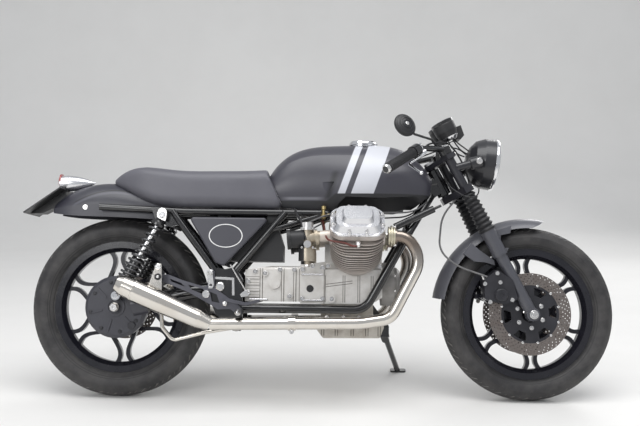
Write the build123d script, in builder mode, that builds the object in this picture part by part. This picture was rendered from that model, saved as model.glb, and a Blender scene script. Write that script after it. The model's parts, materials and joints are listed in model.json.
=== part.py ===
from build123d import *
import os
from math import cos, radians, sin, tan

# Cafe racer motorcycle, in millimetres.
# It is built upright: x runs forward from the rear axle, y to the rider's left, z up from the road.
# At the end every piece is leaned to its left and set down on its tyres and side stand.

# Stance
wheelbase = 1505
lean = 10
rake = 28
fork_offset = 60
fork_half = 95

# Wheels and tyres
rim_diameter = 457.2
rear_tyre_width = 110
rear_tyre_height = 99
front_tyre_width = 100
front_tyre_height = 90
crown_radius = 52
rim_radius = rim_diameter / 2
bead_half = 30
rim_half = 34
rim_lip = rim_radius + 11.4
rim_inner = rim_radius - 25.6
spoke_pairs = 6
spoke_angle = 35
spoke_width = 15
spoke_depth = 24
hub_half = 42
hub_radius = 44
hub_flange = 62
axle_diameter = 20
axle_bore = 11
running_gap = 0.05

# Brakes
disc_radius = 150
disc_inner = 106
disc_thickness = 6
disc_y = 62
disc_windows = 6
window_angle = 6
rear_disc_radius = 121
rear_disc_inner = 82

# Frame tubes
rail_diameter = 25
rail_y = 105
rail_z = 676
strut_diameter = 26
strut_y = 115
cradle_diameter = 32
cradle_y = 115
cradle_z = 328
plate_y = 106
plate_width = 22
head_tube_diameter = 54
stem_diameter = 30
head_low = 530
head_high = 632
spine_diameter = 54

seat_gap = 0.3
seat_base = rail_z + rail_diameter / 2 + seat_gap

# Engine
crank_z = 410
crank_x = 865
engine_half = 96
bell_half = 102
gearbox_half = 90
port_z = 590

# Exhaust
pipe_diameter = 42
pipe_y = 200
pipe_z = 274
muffler_y = 218
muffler_radius = 40
hanger_y = 187

# Stands
stand_pin = 14
stand_gap = 0.3

rear_radius = rim_radius + rear_tyre_height
front_radius = rim_radius + front_tyre_height
rear_axle_at = Vector(0, 0, rear_radius)
front_axle_at = Vector(wheelbase, 0, front_radius)

# The steering axis stands behind the fork legs; its plane has x forward, y left and z up the axis.
head_x = Vector(cos(radians(rake)), 0, sin(radians(rake)))
head_z = Vector(-sin(radians(rake)), 0, cos(radians(rake)))
head = Plane(front_axle_at - head_x * fork_offset, x_dir=head_x, z_dir=head_z)
fork = Plane(front_axle_at, x_dir=head_x, z_dir=head_z)

# The road as it lies in the upright frame: it rises to the left by the lean.
road_drop = crown_radius * (1 / cos(radians(lean)) - 1)


def road(y):
    """Height of the road under a point y to the left."""
    return y * tan(radians(lean)) - road_drop


road_plane = Plane(
    (0, 0, -road_drop),
    x_dir=(1, 0, 0),
    z_dir=(0, -sin(radians(lean)), cos(radians(lean))),
)


def side(y):
    """A side-view plane through y: its x is forward, its y is up, and it faces right."""
    return Plane.XZ.offset(-y)


def steer(x, y, z):
    """A point given from the front axle: x square to the fork legs, y to the left, z up the legs."""
    return fork.from_local_coords(Vector(x, y, z))


def rod(points, diameter, bends=0, bore=0, mode=Mode.ADD):
    """A round bar or tube along straight runs joined by bends."""
    with BuildLine():
        if len(points) > 2:
            route = FilletPolyline(*points, radius=bends)
        else:
            route = Line(*points)
    with BuildSketch(Plane(route @ 0, z_dir=route % 0)) as section:
        Circle(diameter / 2)
        if bore:
            Circle(bore / 2, mode=Mode.SUBTRACT)
    sweep(section.sketch, path=route, mode=mode)


def slab(outline, y_from, y_to, mode=Mode.ADD):
    """A side-view outline of straight edges, filled between two distances from the middle."""
    with BuildSketch(side(y_from)) as shape:
        with BuildLine():
            Polyline(*outline, close=True)
        make_face()
    extrude(shape.sketch, amount=y_from - y_to, mode=mode)


def disc(centre, axis, radius, length, mode=Mode.ADD):
    """A round boss or hole that starts at a point and runs along an axis."""
    with BuildSketch(Plane(centre, z_dir=axis)) as face:
        Circle(radius)
    extrude(face.sketch, amount=length, mode=mode)


def plate(outline, y_from, y_to, corner):
    """A side-view outline with rounded corners, filled between two distances from the middle."""
    with BuildSketch(side(y_from)) as shape:
        with BuildLine():
            Polyline(*outline, close=True)
        make_face()
        fillet(shape.vertices(), corner)
    extrude(shape.sketch, amount=y_from - y_to)


def fork_side(outline):
    """A side-view outline given along the fork legs from the front axle, in the machine's own x and z."""
    return [(at.X, at.Z) for at in (steer(x, 0, z) for x, z in outline)]


def both(x, y, z):
    """The same point on the right and on the left."""
    return (x, -y, z), (x, y, z)


def square_end(start, end, width):
    """Two side-view corners at the end of a line, square to it."""
    run = Vector(end[0] - start[0], 0, end[1] - start[1]).normalized() * (width / 2)
    return (end[0] + run.Z, end[1] - run.X), (end[0] - run.Z, end[1] + run.X)


pieces = {}


# Tyres: a crown of the same radius on both wheels, so that both keep touching the road as it leans
def tyre(centre, width, height):
    radius = rim_radius + height
    bead = rim_lip
    turn = radians(46)
    crown_end = (crown_radius * sin(turn), radius - crown_radius * (1 - cos(turn)))
    widest = (width / 2, rim_radius + height * 0.5)
    wall = 9
    with BuildPart() as made:
        with BuildSketch(Plane(centre, x_dir=(0, 1, 0), z_dir=(1, 0, 0))):
            with BuildLine():
                crown = ThreePointArc((-crown_end[0], crown_end[1]), (0, radius), crown_end)
                ThreePointArc(crown @ 1, widest, (bead_half, bead))
                inside = Polyline(
                    (bead_half, bead),
                    (bead_half, rim_radius),
                    (bead_half - wall, rim_radius),
                    (bead_half - wall, bead + 4),
                )
                ThreePointArc(inside @ 1, (0, radius - 2 * wall), (wall - bead_half, bead + 4))
                Polyline(
                    (wall - bead_half, bead + 4),
                    (wall - bead_half, rim_radius),
                    (-bead_half, rim_radius),
                    (-bead_half, bead),
                )
                ThreePointArc((-bead_half, bead), (-widest[0], widest[1]), crown @ 0)
            make_face()
        revolve(axis=Axis(centre, (0, 1, 0)))
    return made


pieces["rear_tyre"] = tyre(rear_axle_at, rear_tyre_width, rear_tyre_height)
pieces["front_tyre"] = tyre(front_axle_at, front_tyre_width, front_tyre_height)


# Cast wheels: a rim with a well, a hub bored for its axle, and pairs of spokes that bow towards each other
def spoke_pair():
    waist = rim_inner * 0.8
    with BuildSketch() as pair:
        with BuildLine():
            near = Spline(
                (hub_flange - 8, 30),
                (118, 27),
                (waist, 8),
                (rim_inner + 5, 22),
            )
            far = Spline(
                (rim_inner + 5, 22 + spoke_width + 4),
                (waist, 8 + spoke_width),
                (118, 27 + spoke_width),
                (hub_flange - 14, 30 + spoke_width),
            )
            Line(near @ 1, far @ 0)
            Line(far @ 1, near @ 0)
        make_face()
        mirror(about=Plane.XZ)
    return pair


def wheel(centre, hub_left, hub_right):
    well = rim_radius - 15
    with BuildPart() as made:
        with BuildSketch(Plane(centre, x_dir=(0, 1, 0), z_dir=(1, 0, 0))):
            with BuildLine():
                Polyline(
                    (rim_half, rim_lip),
                    (rim_half, rim_radius - 12),
                    (14, rim_inner),
                    (-14, rim_inner),
                    (-rim_half, rim_radius - 12),
                    (-rim_half, rim_lip),
                    (-bead_half, rim_lip),
                    (-bead_half, rim_radius),
                    (9 - bead_half, rim_radius),
                    (15 - bead_half, well),
                    (bead_half - 15, well),
                    (bead_half - 9, rim_radius),
                    (bead_half, rim_radius),
                    (bead_half, rim_lip),
                    close=True,
                )
            make_face()
        revolve(axis=Axis(centre, (0, 1, 0)))
        wheel_side = Plane(centre, x_dir=(1, 0, 0), z_dir=(0, -1, 0))
        with BuildSketch(wheel_side.offset(-hub_left)):
            Circle(hub_radius)
        extrude(amount=hub_left + hub_right)
        with BuildSketch(wheel_side.offset(-spoke_depth / 2 - 3)):
            Circle(hub_flange)
        extrude(amount=spoke_depth + 6)
        with BuildSketch(wheel_side.offset(-spoke_depth / 2)):
            with PolarLocations(0, spoke_pairs, start_angle=spoke_angle):
                add(spoke_pair().sketch)
        extrude(amount=spoke_depth)
        with BuildSketch(wheel_side.offset(-hub_left)):
            Circle(axle_diameter / 2 + running_gap)
        extrude(amount=hub_left + hub_right, mode=Mode.SUBTRACT)
    return made


pieces["front_wheel"] = wheel(front_axle_at, hub_half, hub_half)
pieces["rear_wheel"] = wheel(rear_axle_at, hub_half, hub_half + 12)


# Brake discs with their carriers, one on each side of the front wheel and one on the left of the rear
def brake_disc(centre, radius, swept, y, inward):
    carrier = 4
    hub_hole = hub_radius - 12
    with BuildSketch() as window:
        with BuildLine():
            outer = CenterArc((0, 0), swept - 9, window_angle - 15, 30)
            inner = CenterArc((0, 0), hub_radius * 0.6 + swept * 0.4, window_angle - 12, 24)
            Line(outer @ 0, inner @ 0)
            Line(outer @ 1, inner @ 1)
        make_face()
        fillet(window.vertices(), 4)
    outer_face = side(y + disc_thickness / 2)
    outer_face.origin += Vector(centre.X, 0, centre.Z)
    carrier_face = side(y + carrier / 2)
    carrier_face.origin += Vector(centre.X, 0, centre.Z)
    neck_face = side(max(y, inward))
    neck_face.origin += Vector(centre.X, 0, centre.Z)
    with BuildPart() as made:
        with BuildSketch(outer_face):
            Circle(radius)
            Circle(swept, mode=Mode.SUBTRACT)
        extrude(amount=disc_thickness)
        with BuildSketch(carrier_face):
            Circle(swept + 6)
            Circle(hub_hole, mode=Mode.SUBTRACT)
            with PolarLocations(0, disc_windows):
                add(window.sketch, mode=Mode.SUBTRACT)
        extrude(amount=carrier)
        with BuildSketch(neck_face):
            Circle(hub_radius - 2)
            Circle(hub_hole, mode=Mode.SUBTRACT)
        extrude(amount=abs(y - inward))
        with BuildSketch(outer_face):
            Circle(hub_radius + 12)
            Circle(hub_hole, mode=Mode.SUBTRACT)
        extrude(amount=disc_thickness)
    return made


with BuildPart() as front_discs:
    add(brake_disc(front_axle_at, disc_radius, disc_inner, disc_y, hub_half).part)
    mirror(about=Plane.XZ)
pieces["front_discs"] = front_discs
pieces["rear_disc"] = brake_disc(rear_axle_at, rear_disc_radius, rear_disc_inner, disc_y + 2, hub_half)


# Frame: head tube on the steering axis, spine under the tank, gusset and cross tubes
spine_rear = Vector(655, 0, rail_z + 14)
spine_front = head.from_local_coords(Vector(0, 0, (head_low + head_high) / 2 + 8))
cross_x = 769

with BuildPart() as frame_head:
    rod([spine_rear, spine_front], spine_diameter)
    slab([(1196, 772), (1150, 738), (1085, 735), (1000, 760), (1020, 785), (1170, 815)], 24, -24)
    with BuildSketch(head.offset(head_low)):
        Circle(head_tube_diameter / 2)
    extrude(amount=head_high - head_low)
    with BuildSketch(head.offset(head_low)):
        Circle(stem_diameter / 2 + running_gap)
    extrude(amount=head_high - head_low, mode=Mode.SUBTRACT)
    rod(both(spine_rear.X, rail_y, rail_z), rail_diameter)

with BuildPart() as frame_rails:
    rail_route = [(-70, rail_y, 690), (244, rail_y, rail_z), (cross_x + 12, rail_y, rail_z)]
    rod(rail_route + [(x, -y, z) for x, y, z in reversed(rail_route)], rail_diameter, [300, 45, 45, 300])
pieces["frame_rails"] = frame_rails

with BuildPart() as frame_head_coped:
    add(frame_head.part)
    add(frame_rails.part, mode=Mode.SUBTRACT)
pieces["frame_head"] = frame_head_coped

# Pivot plates: cast side plates that join the struts, the cradle and the swingarm pin
swing_pivot = Vector(378, 0, 405)
centre_pivot = Vector(440, 0, 262)
plate_front = 458
rear_strut = [(195, 676), (356, 465)]
seat_strut = [(607, 676), (432, 466)]
rear_corners = square_end(*rear_strut, strut_diameter)
seat_corners = square_end(*seat_strut, strut_diameter)

with BuildPart() as pivot_plates:
    slab(
        [
            rear_corners[1],
            (394, 468),
            seat_corners[0],
            seat_corners[1],
            (plate_front, 430),
            (plate_front, cradle_z - 18),
            (centre_pivot.X + 20, centre_pivot.Z),
            (centre_pivot.X + 14, centre_pivot.Z - 14),
            (centre_pivot.X - 14, centre_pivot.Z - 14),
            (centre_pivot.X - 20, centre_pivot.Z),
            (365, 305),
            (343, 350),
            rear_corners[0],
        ],
        plate_y + plate_width,
        plate_y,
    )
    disc((swing_pivot.X, plate_y, swing_pivot.Z), (0, 1, 0), 10, plate_width, mode=Mode.SUBTRACT)
    disc((centre_pivot.X, plate_y, centre_pivot.Z), (0, 1, 0), stand_pin / 2, plate_width + 26)
    mirror(about=Plane.XZ)
pieces["pivot_plates"] = pivot_plates


rail_edge = rail_y + rail_diameter / 2
rail_inside = rail_y - rail_diameter / 2
with BuildPart() as rear_struts:
    rod([(x, strut_y, z) for x, z in rear_strut], strut_diameter)
    slab([(120, 690), (215, 672), (236, 630), (190, 618), (140, 640)], rail_edge + 6, rail_edge)
    mirror(about=Plane.XZ)
    add(frame_rails.part, mode=Mode.SUBTRACT)
pieces["rear_struts"] = rear_struts

with BuildPart() as seat_struts:
    rod([(x, strut_y, z) for x, z in seat_strut], strut_diameter)
    rod([(560, strut_y, 612), (cross_x - 6, rail_y, rail_z)], 18)
    mirror(about=Plane.XZ)
    add(frame_rails.part, mode=Mode.SUBTRACT)
pieces["seat_struts"] = seat_struts

# Cradle: down tubes from the head gusset, round the front of the engine and back under it
stand_pivot = Vector(985, 150, 238)
foot = Vector(1062, 385, road(385))
stand_way = (foot - stand_pivot).normalized()
stand_folded = Vector(-0.97, 0.2, -0.1)
stand_axis = stand_way.cross(stand_folded).normalized()
stand_plane = Plane(stand_pivot, x_dir=stand_way, z_dir=stand_axis)
lug_half = 6
ear = 7
with BuildPart() as stand_lug:
    slab([(872, cradle_z - 4), (930, cradle_z + 30), (1003, 262), (1003, 222), (966, 222)], 122, 108)
    lug_root = Vector(985, 116, 246)
    lug_way = lug_root - stand_pivot
    lug_way = (lug_way - stand_axis * lug_way.dot(stand_axis)).normalized()
    lug_plane = Plane(stand_pivot, x_dir=lug_way, z_dir=stand_axis).offset(-lug_half)
    with BuildSketch(lug_plane):
        SlotCenterPoint((15, 0), (34, 0), 34)
    extrude(amount=2 * lug_half)
    with BuildSketch(stand_plane.offset(-lug_half - ear - 4)):
        Circle(stand_pin / 2)
    extrude(amount=2 * lug_half + 2 * ear + 8)

with BuildPart() as frame_cradle:
    rod(
        [
            (1146, 26, 752),
            (1050, cradle_y, 600),
            (899, cradle_y, cradle_z),
            (plate_front, cradle_y, cradle_z),
        ],
        cradle_diameter,
        [90, 70],
    )
    add(frame_head.part, mode=Mode.SUBTRACT)
    mirror(about=Plane.XZ)
    add(stand_lug.part)
pieces["frame_cradle"] = frame_cradle

# Engine: ribbed crankcase with its front cover, cylinders at ninety degrees, gearbox and finned sump
engine_rear = 753
engine_front = 962
engine_base = 348
barrel_start = 112
rib = 5
crank_rib = 2.5
bell_rear = 664
gearbox_rear = 464
with BuildPart() as crankcase:
    deck_top = crank_z + barrel_start * 2**0.5
    with BuildSketch(Plane((engine_rear, 0, 0), x_dir=(0, 1, 0), z_dir=(1, 0, 0))):
        with BuildLine():
            Polyline(
                (-engine_half, engine_base),
                (engine_half, engine_base),
                (engine_half, deck_top - engine_half),
                (0, deck_top),
                (-engine_half, deck_top - engine_half),
                close=True,
            )
        make_face()
    extrude(amount=engine_front - engine_rear)
    chamfer(crankcase.part.edges().filter_by(Axis.Y).group_by(Axis.Z)[0].sort_by(Axis.X)[-1], 40, 24)
    for x in (823, 877, 925):
        slab([(x - 2, engine_base + 8), (x + 2, engine_base + 8), (x + 2, 450), (x - 2, 450)],
             engine_half + crank_rib, engine_half)
    slab([(engine_rear, 411), (855, 425), (940, 421), (940, 425), (855, 429), (engine_rear, 415)],
         engine_half + crank_rib, engine_half)
    slab([(engine_rear + 6, 421), (812, 464), (809, 468), (engine_rear + 3, 425)],
         engine_half + crank_rib, engine_half)
    disc((779, engine_half, engine_base + 18), (0, 1, 0), 14, 9)
    mirror(about=Plane.XZ)
pieces["crankcase"] = crankcase

with BuildPart() as gearbox:
    bell_outline = [(bell_rear, engine_base), (engine_rear, engine_base), (engine_rear, 500), (bell_rear, 487)]
    slab(bell_outline, bell_half, -bell_half)
    case_outline = [
        (gearbox_rear, engine_base + 6),
        (bell_rear, engine_base + 6),
        (bell_rear, 483),
        (560, 483),
        (gearbox_rear, 468),
    ]
    slab(case_outline, gearbox_half, -gearbox_half)
    fillet(gearbox.part.edges().filter_by(Axis.X).group_by(Axis.Z)[-1], 16)
    disc((700, bell_half - 12, 402), (0, 1, 0), 11, 20, mode=Mode.SUBTRACT)
    for z in (engine_base + 9, 450):
        slab([(bell_rear + 4, z), (engine_rear - 6, z), (engine_rear - 6, z + 6), (bell_rear + 4, z + 6)],
             bell_half + rib, bell_half)
    for x in (520, 598, 642):
        slab([(x, engine_base + 10), (x + 5, engine_base + 10), (x + 5, 462), (x, 462)],
             gearbox_half + rib, gearbox_half)
    for z in (370, 392, 414, 436):
        slab([(gearbox_rear + 6, z), (516, z), (516, z + 5), (gearbox_rear + 6, z + 5)],
             gearbox_half + rib, gearbox_half)
    for x, z, radius in ((536, 456, 12), (626, 374, 12), (572, 420, 20)):
        disc((x, gearbox_half, z), (0, 1, 0), radius, rib + 4)
    mirror(about=Plane.XZ)
pieces["gearbox"] = gearbox

sump_base = 224
sump_half = 90
with BuildPart() as sump:
    with BuildSketch(side(sump_half)) as sump_outline:
        with BuildLine():
            Polyline(
                (719, 264),
                (749, sump_base),
                (955, sump_base + 2),
                (969, 264),
                (969, 300),
                (719, 300),
                close=True,
            )
        make_face()
        fillet(sump_outline.vertices().group_by(Axis.Z)[0], 10)
    extrude(sump_outline.sketch, amount=2 * sump_half)
    for x in (745, 795, 852, 905, 950):
        slab([(x, 236), (x + 5, 236), (x + 5, 292), (x, 292)], sump_half + rib, sump_half)
    slab([(740, 300), (930, 300), (930, engine_base), (740, engine_base)], 78, 0)
    mirror(about=Plane.XZ)
pieces["sump"] = sump

cover_z = 422
with BuildPart() as front_cover:
    disc((engine_front, 0, cover_z), (1, 0, 0), 80, 46)
    disc((engine_front + 46, 0, cover_z), (1, 0, 0), 62, 22)
    chamfer(front_cover.part.faces().sort_by(Axis.X)[-1].edges(), 10)
pieces["front_cover"] = front_cover


def bank(at, way):
    """A plane on one bank's own axis: z out along the cylinder, x forward."""
    return Plane((crank_x, 0, crank_z), x_dir=(1, 0, 0), z_dir=(0, -way, 1)).offset(at)


# Finned barrels and heads; columns: distance along the cylinder, length forward, height, corner radius
fin_thickness = 4
barrel_fins = (
    (118, 120, 112, 50),
    (128, 140, 130, 60),
    (138, 156, 144, 66),
    (148, 168, 154, 70),
    (158, 176, 162, 74),
    (168, 182, 167, 76),
    (178, 186, 170, 76),
    (188, 187, 172, 76),
    (198, 187, 172, 76),
    (208, 187, 172, 76),
    (218, 187, 172, 76),
)
head_start = 230
head_fins = (
    (244, 190, 172, 70),
    (257, 191, 171, 66),
    (270, 192, 170, 62),
    (283, 192, 168, 58),
)
cover_base = 316
with BuildPart() as cylinders:
    for way in (1, -1):
        with BuildSketch(bank(barrel_start, way)):
            Circle(55)
        extrude(amount=head_start - barrel_start)
        for at, long, high, corner in barrel_fins + head_fins:
            with BuildSketch(bank(at, way)):
                RectangleRounded(long, high, corner)
            extrude(amount=fin_thickness)
        with BuildSketch(bank(head_start, way)):
            RectangleRounded(150, 130, 40)
        extrude(amount=cover_base - head_start)
        with BuildSketch(bank(head_start, way)):
            RectangleRounded(190, 170, 74)
        extrude(amount=7)
        with BuildSketch(bank(cover_base - 16, way)):
            RectangleRounded(192, 150, 44)
        extrude(amount=16)
    for x, reach in ((958, 6), (772, -6)):
        disc((x - reach * 5, pipe_y, port_z), (reach, 0, 0), 33, 34)
    mirror(about=Plane.XZ)
    add(crankcase.part, mode=Mode.SUBTRACT)
pieces["cylinders"] = cylinders

# Rocker covers in two tiers; columns: start, end, length and height at the start, then at the end, corner
cover_tiers = (
    (0, 7, 190, 148, 190, 148, 42),
    (7, 30, 172, 130, 150, 112, 30),
    (30, 49, 112, 84, 98, 70, 20),
)
with BuildPart() as rocker_covers:
    for way in (1, -1):
        for start, end, long, high, top_long, top_high, corner in cover_tiers:
            with BuildSketch(bank(cover_base + start, way)):
                RectangleRounded(long, high, corner)
            with BuildSketch(bank(cover_base + end, way)):
                RectangleRounded(top_long, top_high, corner)
            loft(ruled=True)
pieces["rocker_covers"] = rocker_covers

# Carburettors behind the heads, with their bellmouths
carb_x = 690
with BuildPart() as carburettors:
    rod([(carb_x - 30, pipe_y, port_z - 12), (776, pipe_y, port_z)], 40)
    rod([(carb_x + 26, pipe_y, port_z - 8), (carb_x + 38, pipe_y, port_z - 6)], 58)
    rod([(carb_x, pipe_y, 498), (carb_x, pipe_y, 634)], 40)
    rod([(carb_x, pipe_y, 498), (carb_x, pipe_y, 542)], 62)
    rod([(carb_x, pipe_y, 486), (carb_x, pipe_y, 498)], 22)
    rod([(carb_x, pipe_y, 606), (carb_x, pipe_y, 616)], 50)
    rod([(carb_x - 60, pipe_y, port_z - 16), (carb_x - 12, pipe_y, port_z - 12)], 60)
    rod([(carb_x - 72, pipe_y, port_z - 17), (carb_x - 60, pipe_y, port_z - 16)], 72)
    disc((carb_x, pipe_y, 556), (0, 1, 0), 9, 40)
    mirror(about=Plane.XZ)
    add(cylinders.part, mode=Mode.SUBTRACT)
    add(rocker_covers.part, mode=Mode.SUBTRACT)
pieces["carburettors"] = carburettors

# Exhaust: header pipes from the heads, under the engine, and the upswept mufflers
muffler_front = Vector(352, pipe_y, pipe_z)
with BuildPart() as exhaust_pipes:
    rod(
        [
            (975, pipe_y, port_z),
            (1043, pipe_y, port_z),
            (1092, pipe_y, 508),
            (985, pipe_y, 300),
            (877, pipe_y, 283),
            muffler_front,
        ],
        pipe_diameter,
        [66, 92, 60, 300],
    )
    for start, radius in ((974, 33), (983, 37), (992, 33)):
        disc((start, pipe_y, port_z), (1, 0, 0), radius, 5)
    disc((974, pipe_y, port_z), (1, 0, 0), 27, 30)
    rod([(626, pipe_y, 279), (652, pipe_y, 279.4)], pipe_diameter + 9)
    rod(both(600, pipe_y, 278.6), 26)
    mirror(about=Plane.XZ)
    add(cylinders.part, mode=Mode.SUBTRACT)
    add(sump.part, mode=Mode.SUBTRACT)
pieces["exhaust_pipes"] = exhaust_pipes

muffler_rear = Vector(26, muffler_y, 414)
muffler_way = (muffler_rear - muffler_front).normalized()
muffler_length = (muffler_rear - muffler_front).length
# Columns: distance from the front, radius
muffler_rings = (
    (0, pipe_diameter / 2 + 2),
    (46, muffler_radius - 8),
    (190, muffler_radius - 1),
    (muffler_length - 64, muffler_radius),
)
with BuildPart() as mufflers:
    for at, radius in muffler_rings:
        with BuildSketch(Plane(muffler_front + muffler_way * at, z_dir=muffler_way)):
            Circle(radius)
    loft(ruled=True)
    with BuildSketch(Plane(muffler_front + muffler_way * (muffler_length - 64), z_dir=muffler_way)):
        Circle(muffler_radius - 1.5)
    with BuildSketch(Plane(muffler_front + muffler_way * (muffler_length - 22), z_dir=muffler_way)):
        Circle(muffler_radius - 4)
    with BuildSketch(Plane(muffler_rear, z_dir=muffler_way)):
        Circle(muffler_radius - 13)
    loft(ruled=True)
    disc(muffler_rear, -muffler_way, muffler_radius - 17, 50, mode=Mode.SUBTRACT)
    plate([(126, 392), (154, 470), (158, 484), (176, 484), (180, 370)], hanger_y + 5, hanger_y, 6)
    for x, z in ((167, 472), (164, 437)):
        disc((x, hanger_y, z), (0, 1, 0), 5, 5, mode=Mode.SUBTRACT)
    mirror(about=Plane.XZ)
    add(exhaust_pipes.part, mode=Mode.SUBTRACT)
pieces["mufflers"] = mufflers


# Fuel tank: cross sections from rear to front
battery_half = 88


def tank_section(x, bottom, half_bottom, half_wide, z_wide, half_shoulder, z_shoulder, top):
    with BuildSketch(Plane((x, 0, 0), x_dir=(0, 1, 0), z_dir=(1, 0, 0))) as section:
        with BuildLine():
            Line((-half_bottom, bottom), (half_bottom, bottom))
            ThreePointArc((half_bottom, bottom), (half_wide, z_wide), (half_shoulder, z_shoulder))
            ThreePointArc((half_shoulder, z_shoulder), (0, top), (-half_shoulder, z_shoulder))
            ThreePointArc((-half_shoulder, z_shoulder), (-half_wide, z_wide), (-half_bottom, bottom))
        make_face()
    return section.sketch


# Columns: x, bottom, half bottom, half wide, z wide, half shoulder, z shoulder, top
tank_sections = (
    (542, 700, 70, 86, 755, 66, 796, 818),
    (600, 696, 84, 101, 775, 80, 850, 888),
    (700, seat_base, 96, 114, 785, 90, 888, 931),
    (810, seat_base, 104, 128, 795, 98, 892, 940),
    (930, seat_base, 106, 138, 800, 100, 893, 943),
    (1040, seat_base, 92, 126, 795, 86, 878, 925),
    (1110, 700, 66, 100, 790, 68, 845, 882),
    (1146, 735, 40, 66, 785, 46, 815, 838),
)
# The sides end in a crease over the engine, and the underside slopes in from it to the spine
crease = [(785, 600), (790, 690), (800, 712), (826, 737), (950, 733), (1110, 743), (1200, 745), (1200, 600)]
belly = [(960, 600), (960, seat_base), (1012, seat_base), (1076, 704), (1104, 722), (1132, 746), (1200, 760),
         (1200, 600)]
with BuildPart() as underside:
    with BuildSketch(Plane((crease[0][0], 0, 0), x_dir=(0, 1, 0), z_dir=(1, 0, 0))):
        with BuildLine():
            Polyline((58, 600), (58, 690), (112, 743), (220, 743), (220, 600), close=True)
        make_face()
    extrude(amount=500)
    slab(crease, 240, 0, mode=Mode.INTERSECT)
    mirror(about=Plane.XZ)

# Hollows for the rider's knees: a wide shallow scoop in each flank, ending in a crease behind the stripes
with BuildPart() as knee_hollow:
    with BuildSketch(side(190)):
        with BuildLine():
            Polyline(
                (575, 690),
                (760, 690),
                (786, 742),
                (812, 792),
                (812, 815),
                (760, 815),
                (600, 808),
                close=True,
            )
        make_face()
    extrude(amount=71, taper=20)
    mirror(about=Plane.XZ)

with BuildPart() as fuel_tank:
    loft([tank_section(*row) for row in tank_sections])
    add(underside.part, mode=Mode.SUBTRACT)
    add(knee_hollow.part, mode=Mode.SUBTRACT)
    slab(belly, 200, -200, mode=Mode.SUBTRACT)
    slab([(500, 816), (542, 816), (590, 711), (590, 600), (500, 600)], 200, -200, mode=Mode.SUBTRACT)
    slab([(500, 600), (500, seat_base), (1200, seat_base), (1200, 600)], 200, -200, mode=Mode.SUBTRACT)
    slab([(500, 600), (500, 736), (1000, 826), (1200, 862), (1200, 600)], 46, -46, mode=Mode.SUBTRACT)
    slab([(1050, 600), (1050, 716), (1110, 760), (1150, 790), (1200, 800), (1200, 600)], 76, -76,
         mode=Mode.SUBTRACT)
    slab([(1098, 600), (1064, 1000), (1200, 1000), (1200, 600)], 56, -56, mode=Mode.SUBTRACT)
pieces["fuel_tank"] = fuel_tank

with BuildPart() as fuel_cap:
    disc((892, 0, 936), (0, 0, 1), 48, 20)
    add(fuel_tank.part, mode=Mode.SUBTRACT)
pieces["fuel_cap"] = fuel_cap


# Seat: cross sections from the pointed tail to the tank
def seat_section(x, bottom, top, half, corner):
    with BuildSketch(Plane((x, 0, (bottom + top) / 2), x_dir=(0, 1, 0), z_dir=(1, 0, 0))) as section:
        RectangleRounded(2 * half, top - bottom, corner)
    return section.sketch


# Columns: x, bottom, top, half width, corner radius
seat_sections = (
    (-36, 781, 797, 30, 7),
    (0, 762, 820, 66, 22),
    (50, 735, 837, 94, 34),
    (110, 706, 839, 110, 40),
    (180, 690, 832, 116, 42),
    (290, seat_base, 827, 118, 42),
    (400, seat_base, 829, 117, 42),
    (500, seat_base, 833, 114, 42),
    (590, seat_base, 835, 110, 42),
)
with BuildPart() as seat:
    loft([seat_section(*row) for row in seat_sections])
    slab([(541, 850), (541.5, 817), (589.5, 711), (600, 650), (700, 650), (700, 850)], 200, -200,
         mode=Mode.SUBTRACT)
    slab([(100, 640), (100, seat_base), (700, seat_base), (700, 640)], 200, -200, mode=Mode.SUBTRACT)
pieces["seat"] = seat


# Tail fender: an open shell under the seat's tail
def fender_section(x, bottom, top, half, inset):
    width = half - inset
    crown = top - inset
    with BuildSketch(Plane((x, 0, 0), x_dir=(0, 1, 0), z_dir=(1, 0, 0))) as section:
        with BuildLine():
            Line((-width, bottom), (width, bottom))
            Line((width, bottom), (width, bottom + (crown - bottom) * 0.35))
            ThreePointArc(
                (width, bottom + (crown - bottom) * 0.35),
                (0, crown),
                (-width, bottom + (crown - bottom) * 0.35),
            )
            Line((-width, bottom + (crown - bottom) * 0.35), (-width, bottom))
        make_face()
    return section.sketch


# Columns: x, bottom, top, half width
fender_sections = (
    (-250, 668, 712, 62),
    (-205, 662, 746, 78),
    (-140, 658, 774, 86),
    (-30, 655, 786, 88),
    (160, 646, 760, 86),
)
with BuildPart() as tail_fender:
    loft([fender_section(x, bottom, top, half, 0) for x, bottom, top, half in fender_sections])
    loft(
        [fender_section(x, bottom - 1, top, half, 4) for x, bottom, top, half in fender_sections],
        mode=Mode.SUBTRACT,
    )
    add(seat.part, mode=Mode.SUBTRACT)
pieces["tail_fender"] = tail_fender

with BuildPart() as tail_light:
    with BuildSketch(side(0)):
        with BuildLine():
            body = ThreePointArc((-112, 788), (-178, 812), (-244, 814))
            Polyline(body @ 1, (-244, 784), body @ 0)
        make_face()
    revolve(axis=Axis((-112, 0, 788), (-132, 0, -4)))
    add(tail_fender.part, mode=Mode.SUBTRACT)
pieces["tail_light"] = tail_light

with BuildPart() as number_plate:
    slab([(-219, 759), (-351, 665), (-354, 669), (-222, 763)], 92, -92)
    slab([(-219, 758), (-345, 668), (-300, 670), (-240, 700), (-215, 735)], 30, -30)
    add(tail_fender.part, mode=Mode.SUBTRACT)
    add(tail_light.part, mode=Mode.SUBTRACT)
pieces["number_plate"] = number_plate

with BuildPart() as side_panels:
    plate([(258, 655), (554, 655), (388, 478), (357, 491)], 134, 102, 11)
    fillet(side_panels.part.faces().sort_by(Axis.Y)[-1].edges(), 8)
    for x, z in ((345, 636), (520, 636), (400, 530)):
        disc((x, battery_half, z), (0, 1, 0), 7, 102 - battery_half)
    mirror(about=Plane.XZ)
pieces["side_panels"] = side_panels

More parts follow.
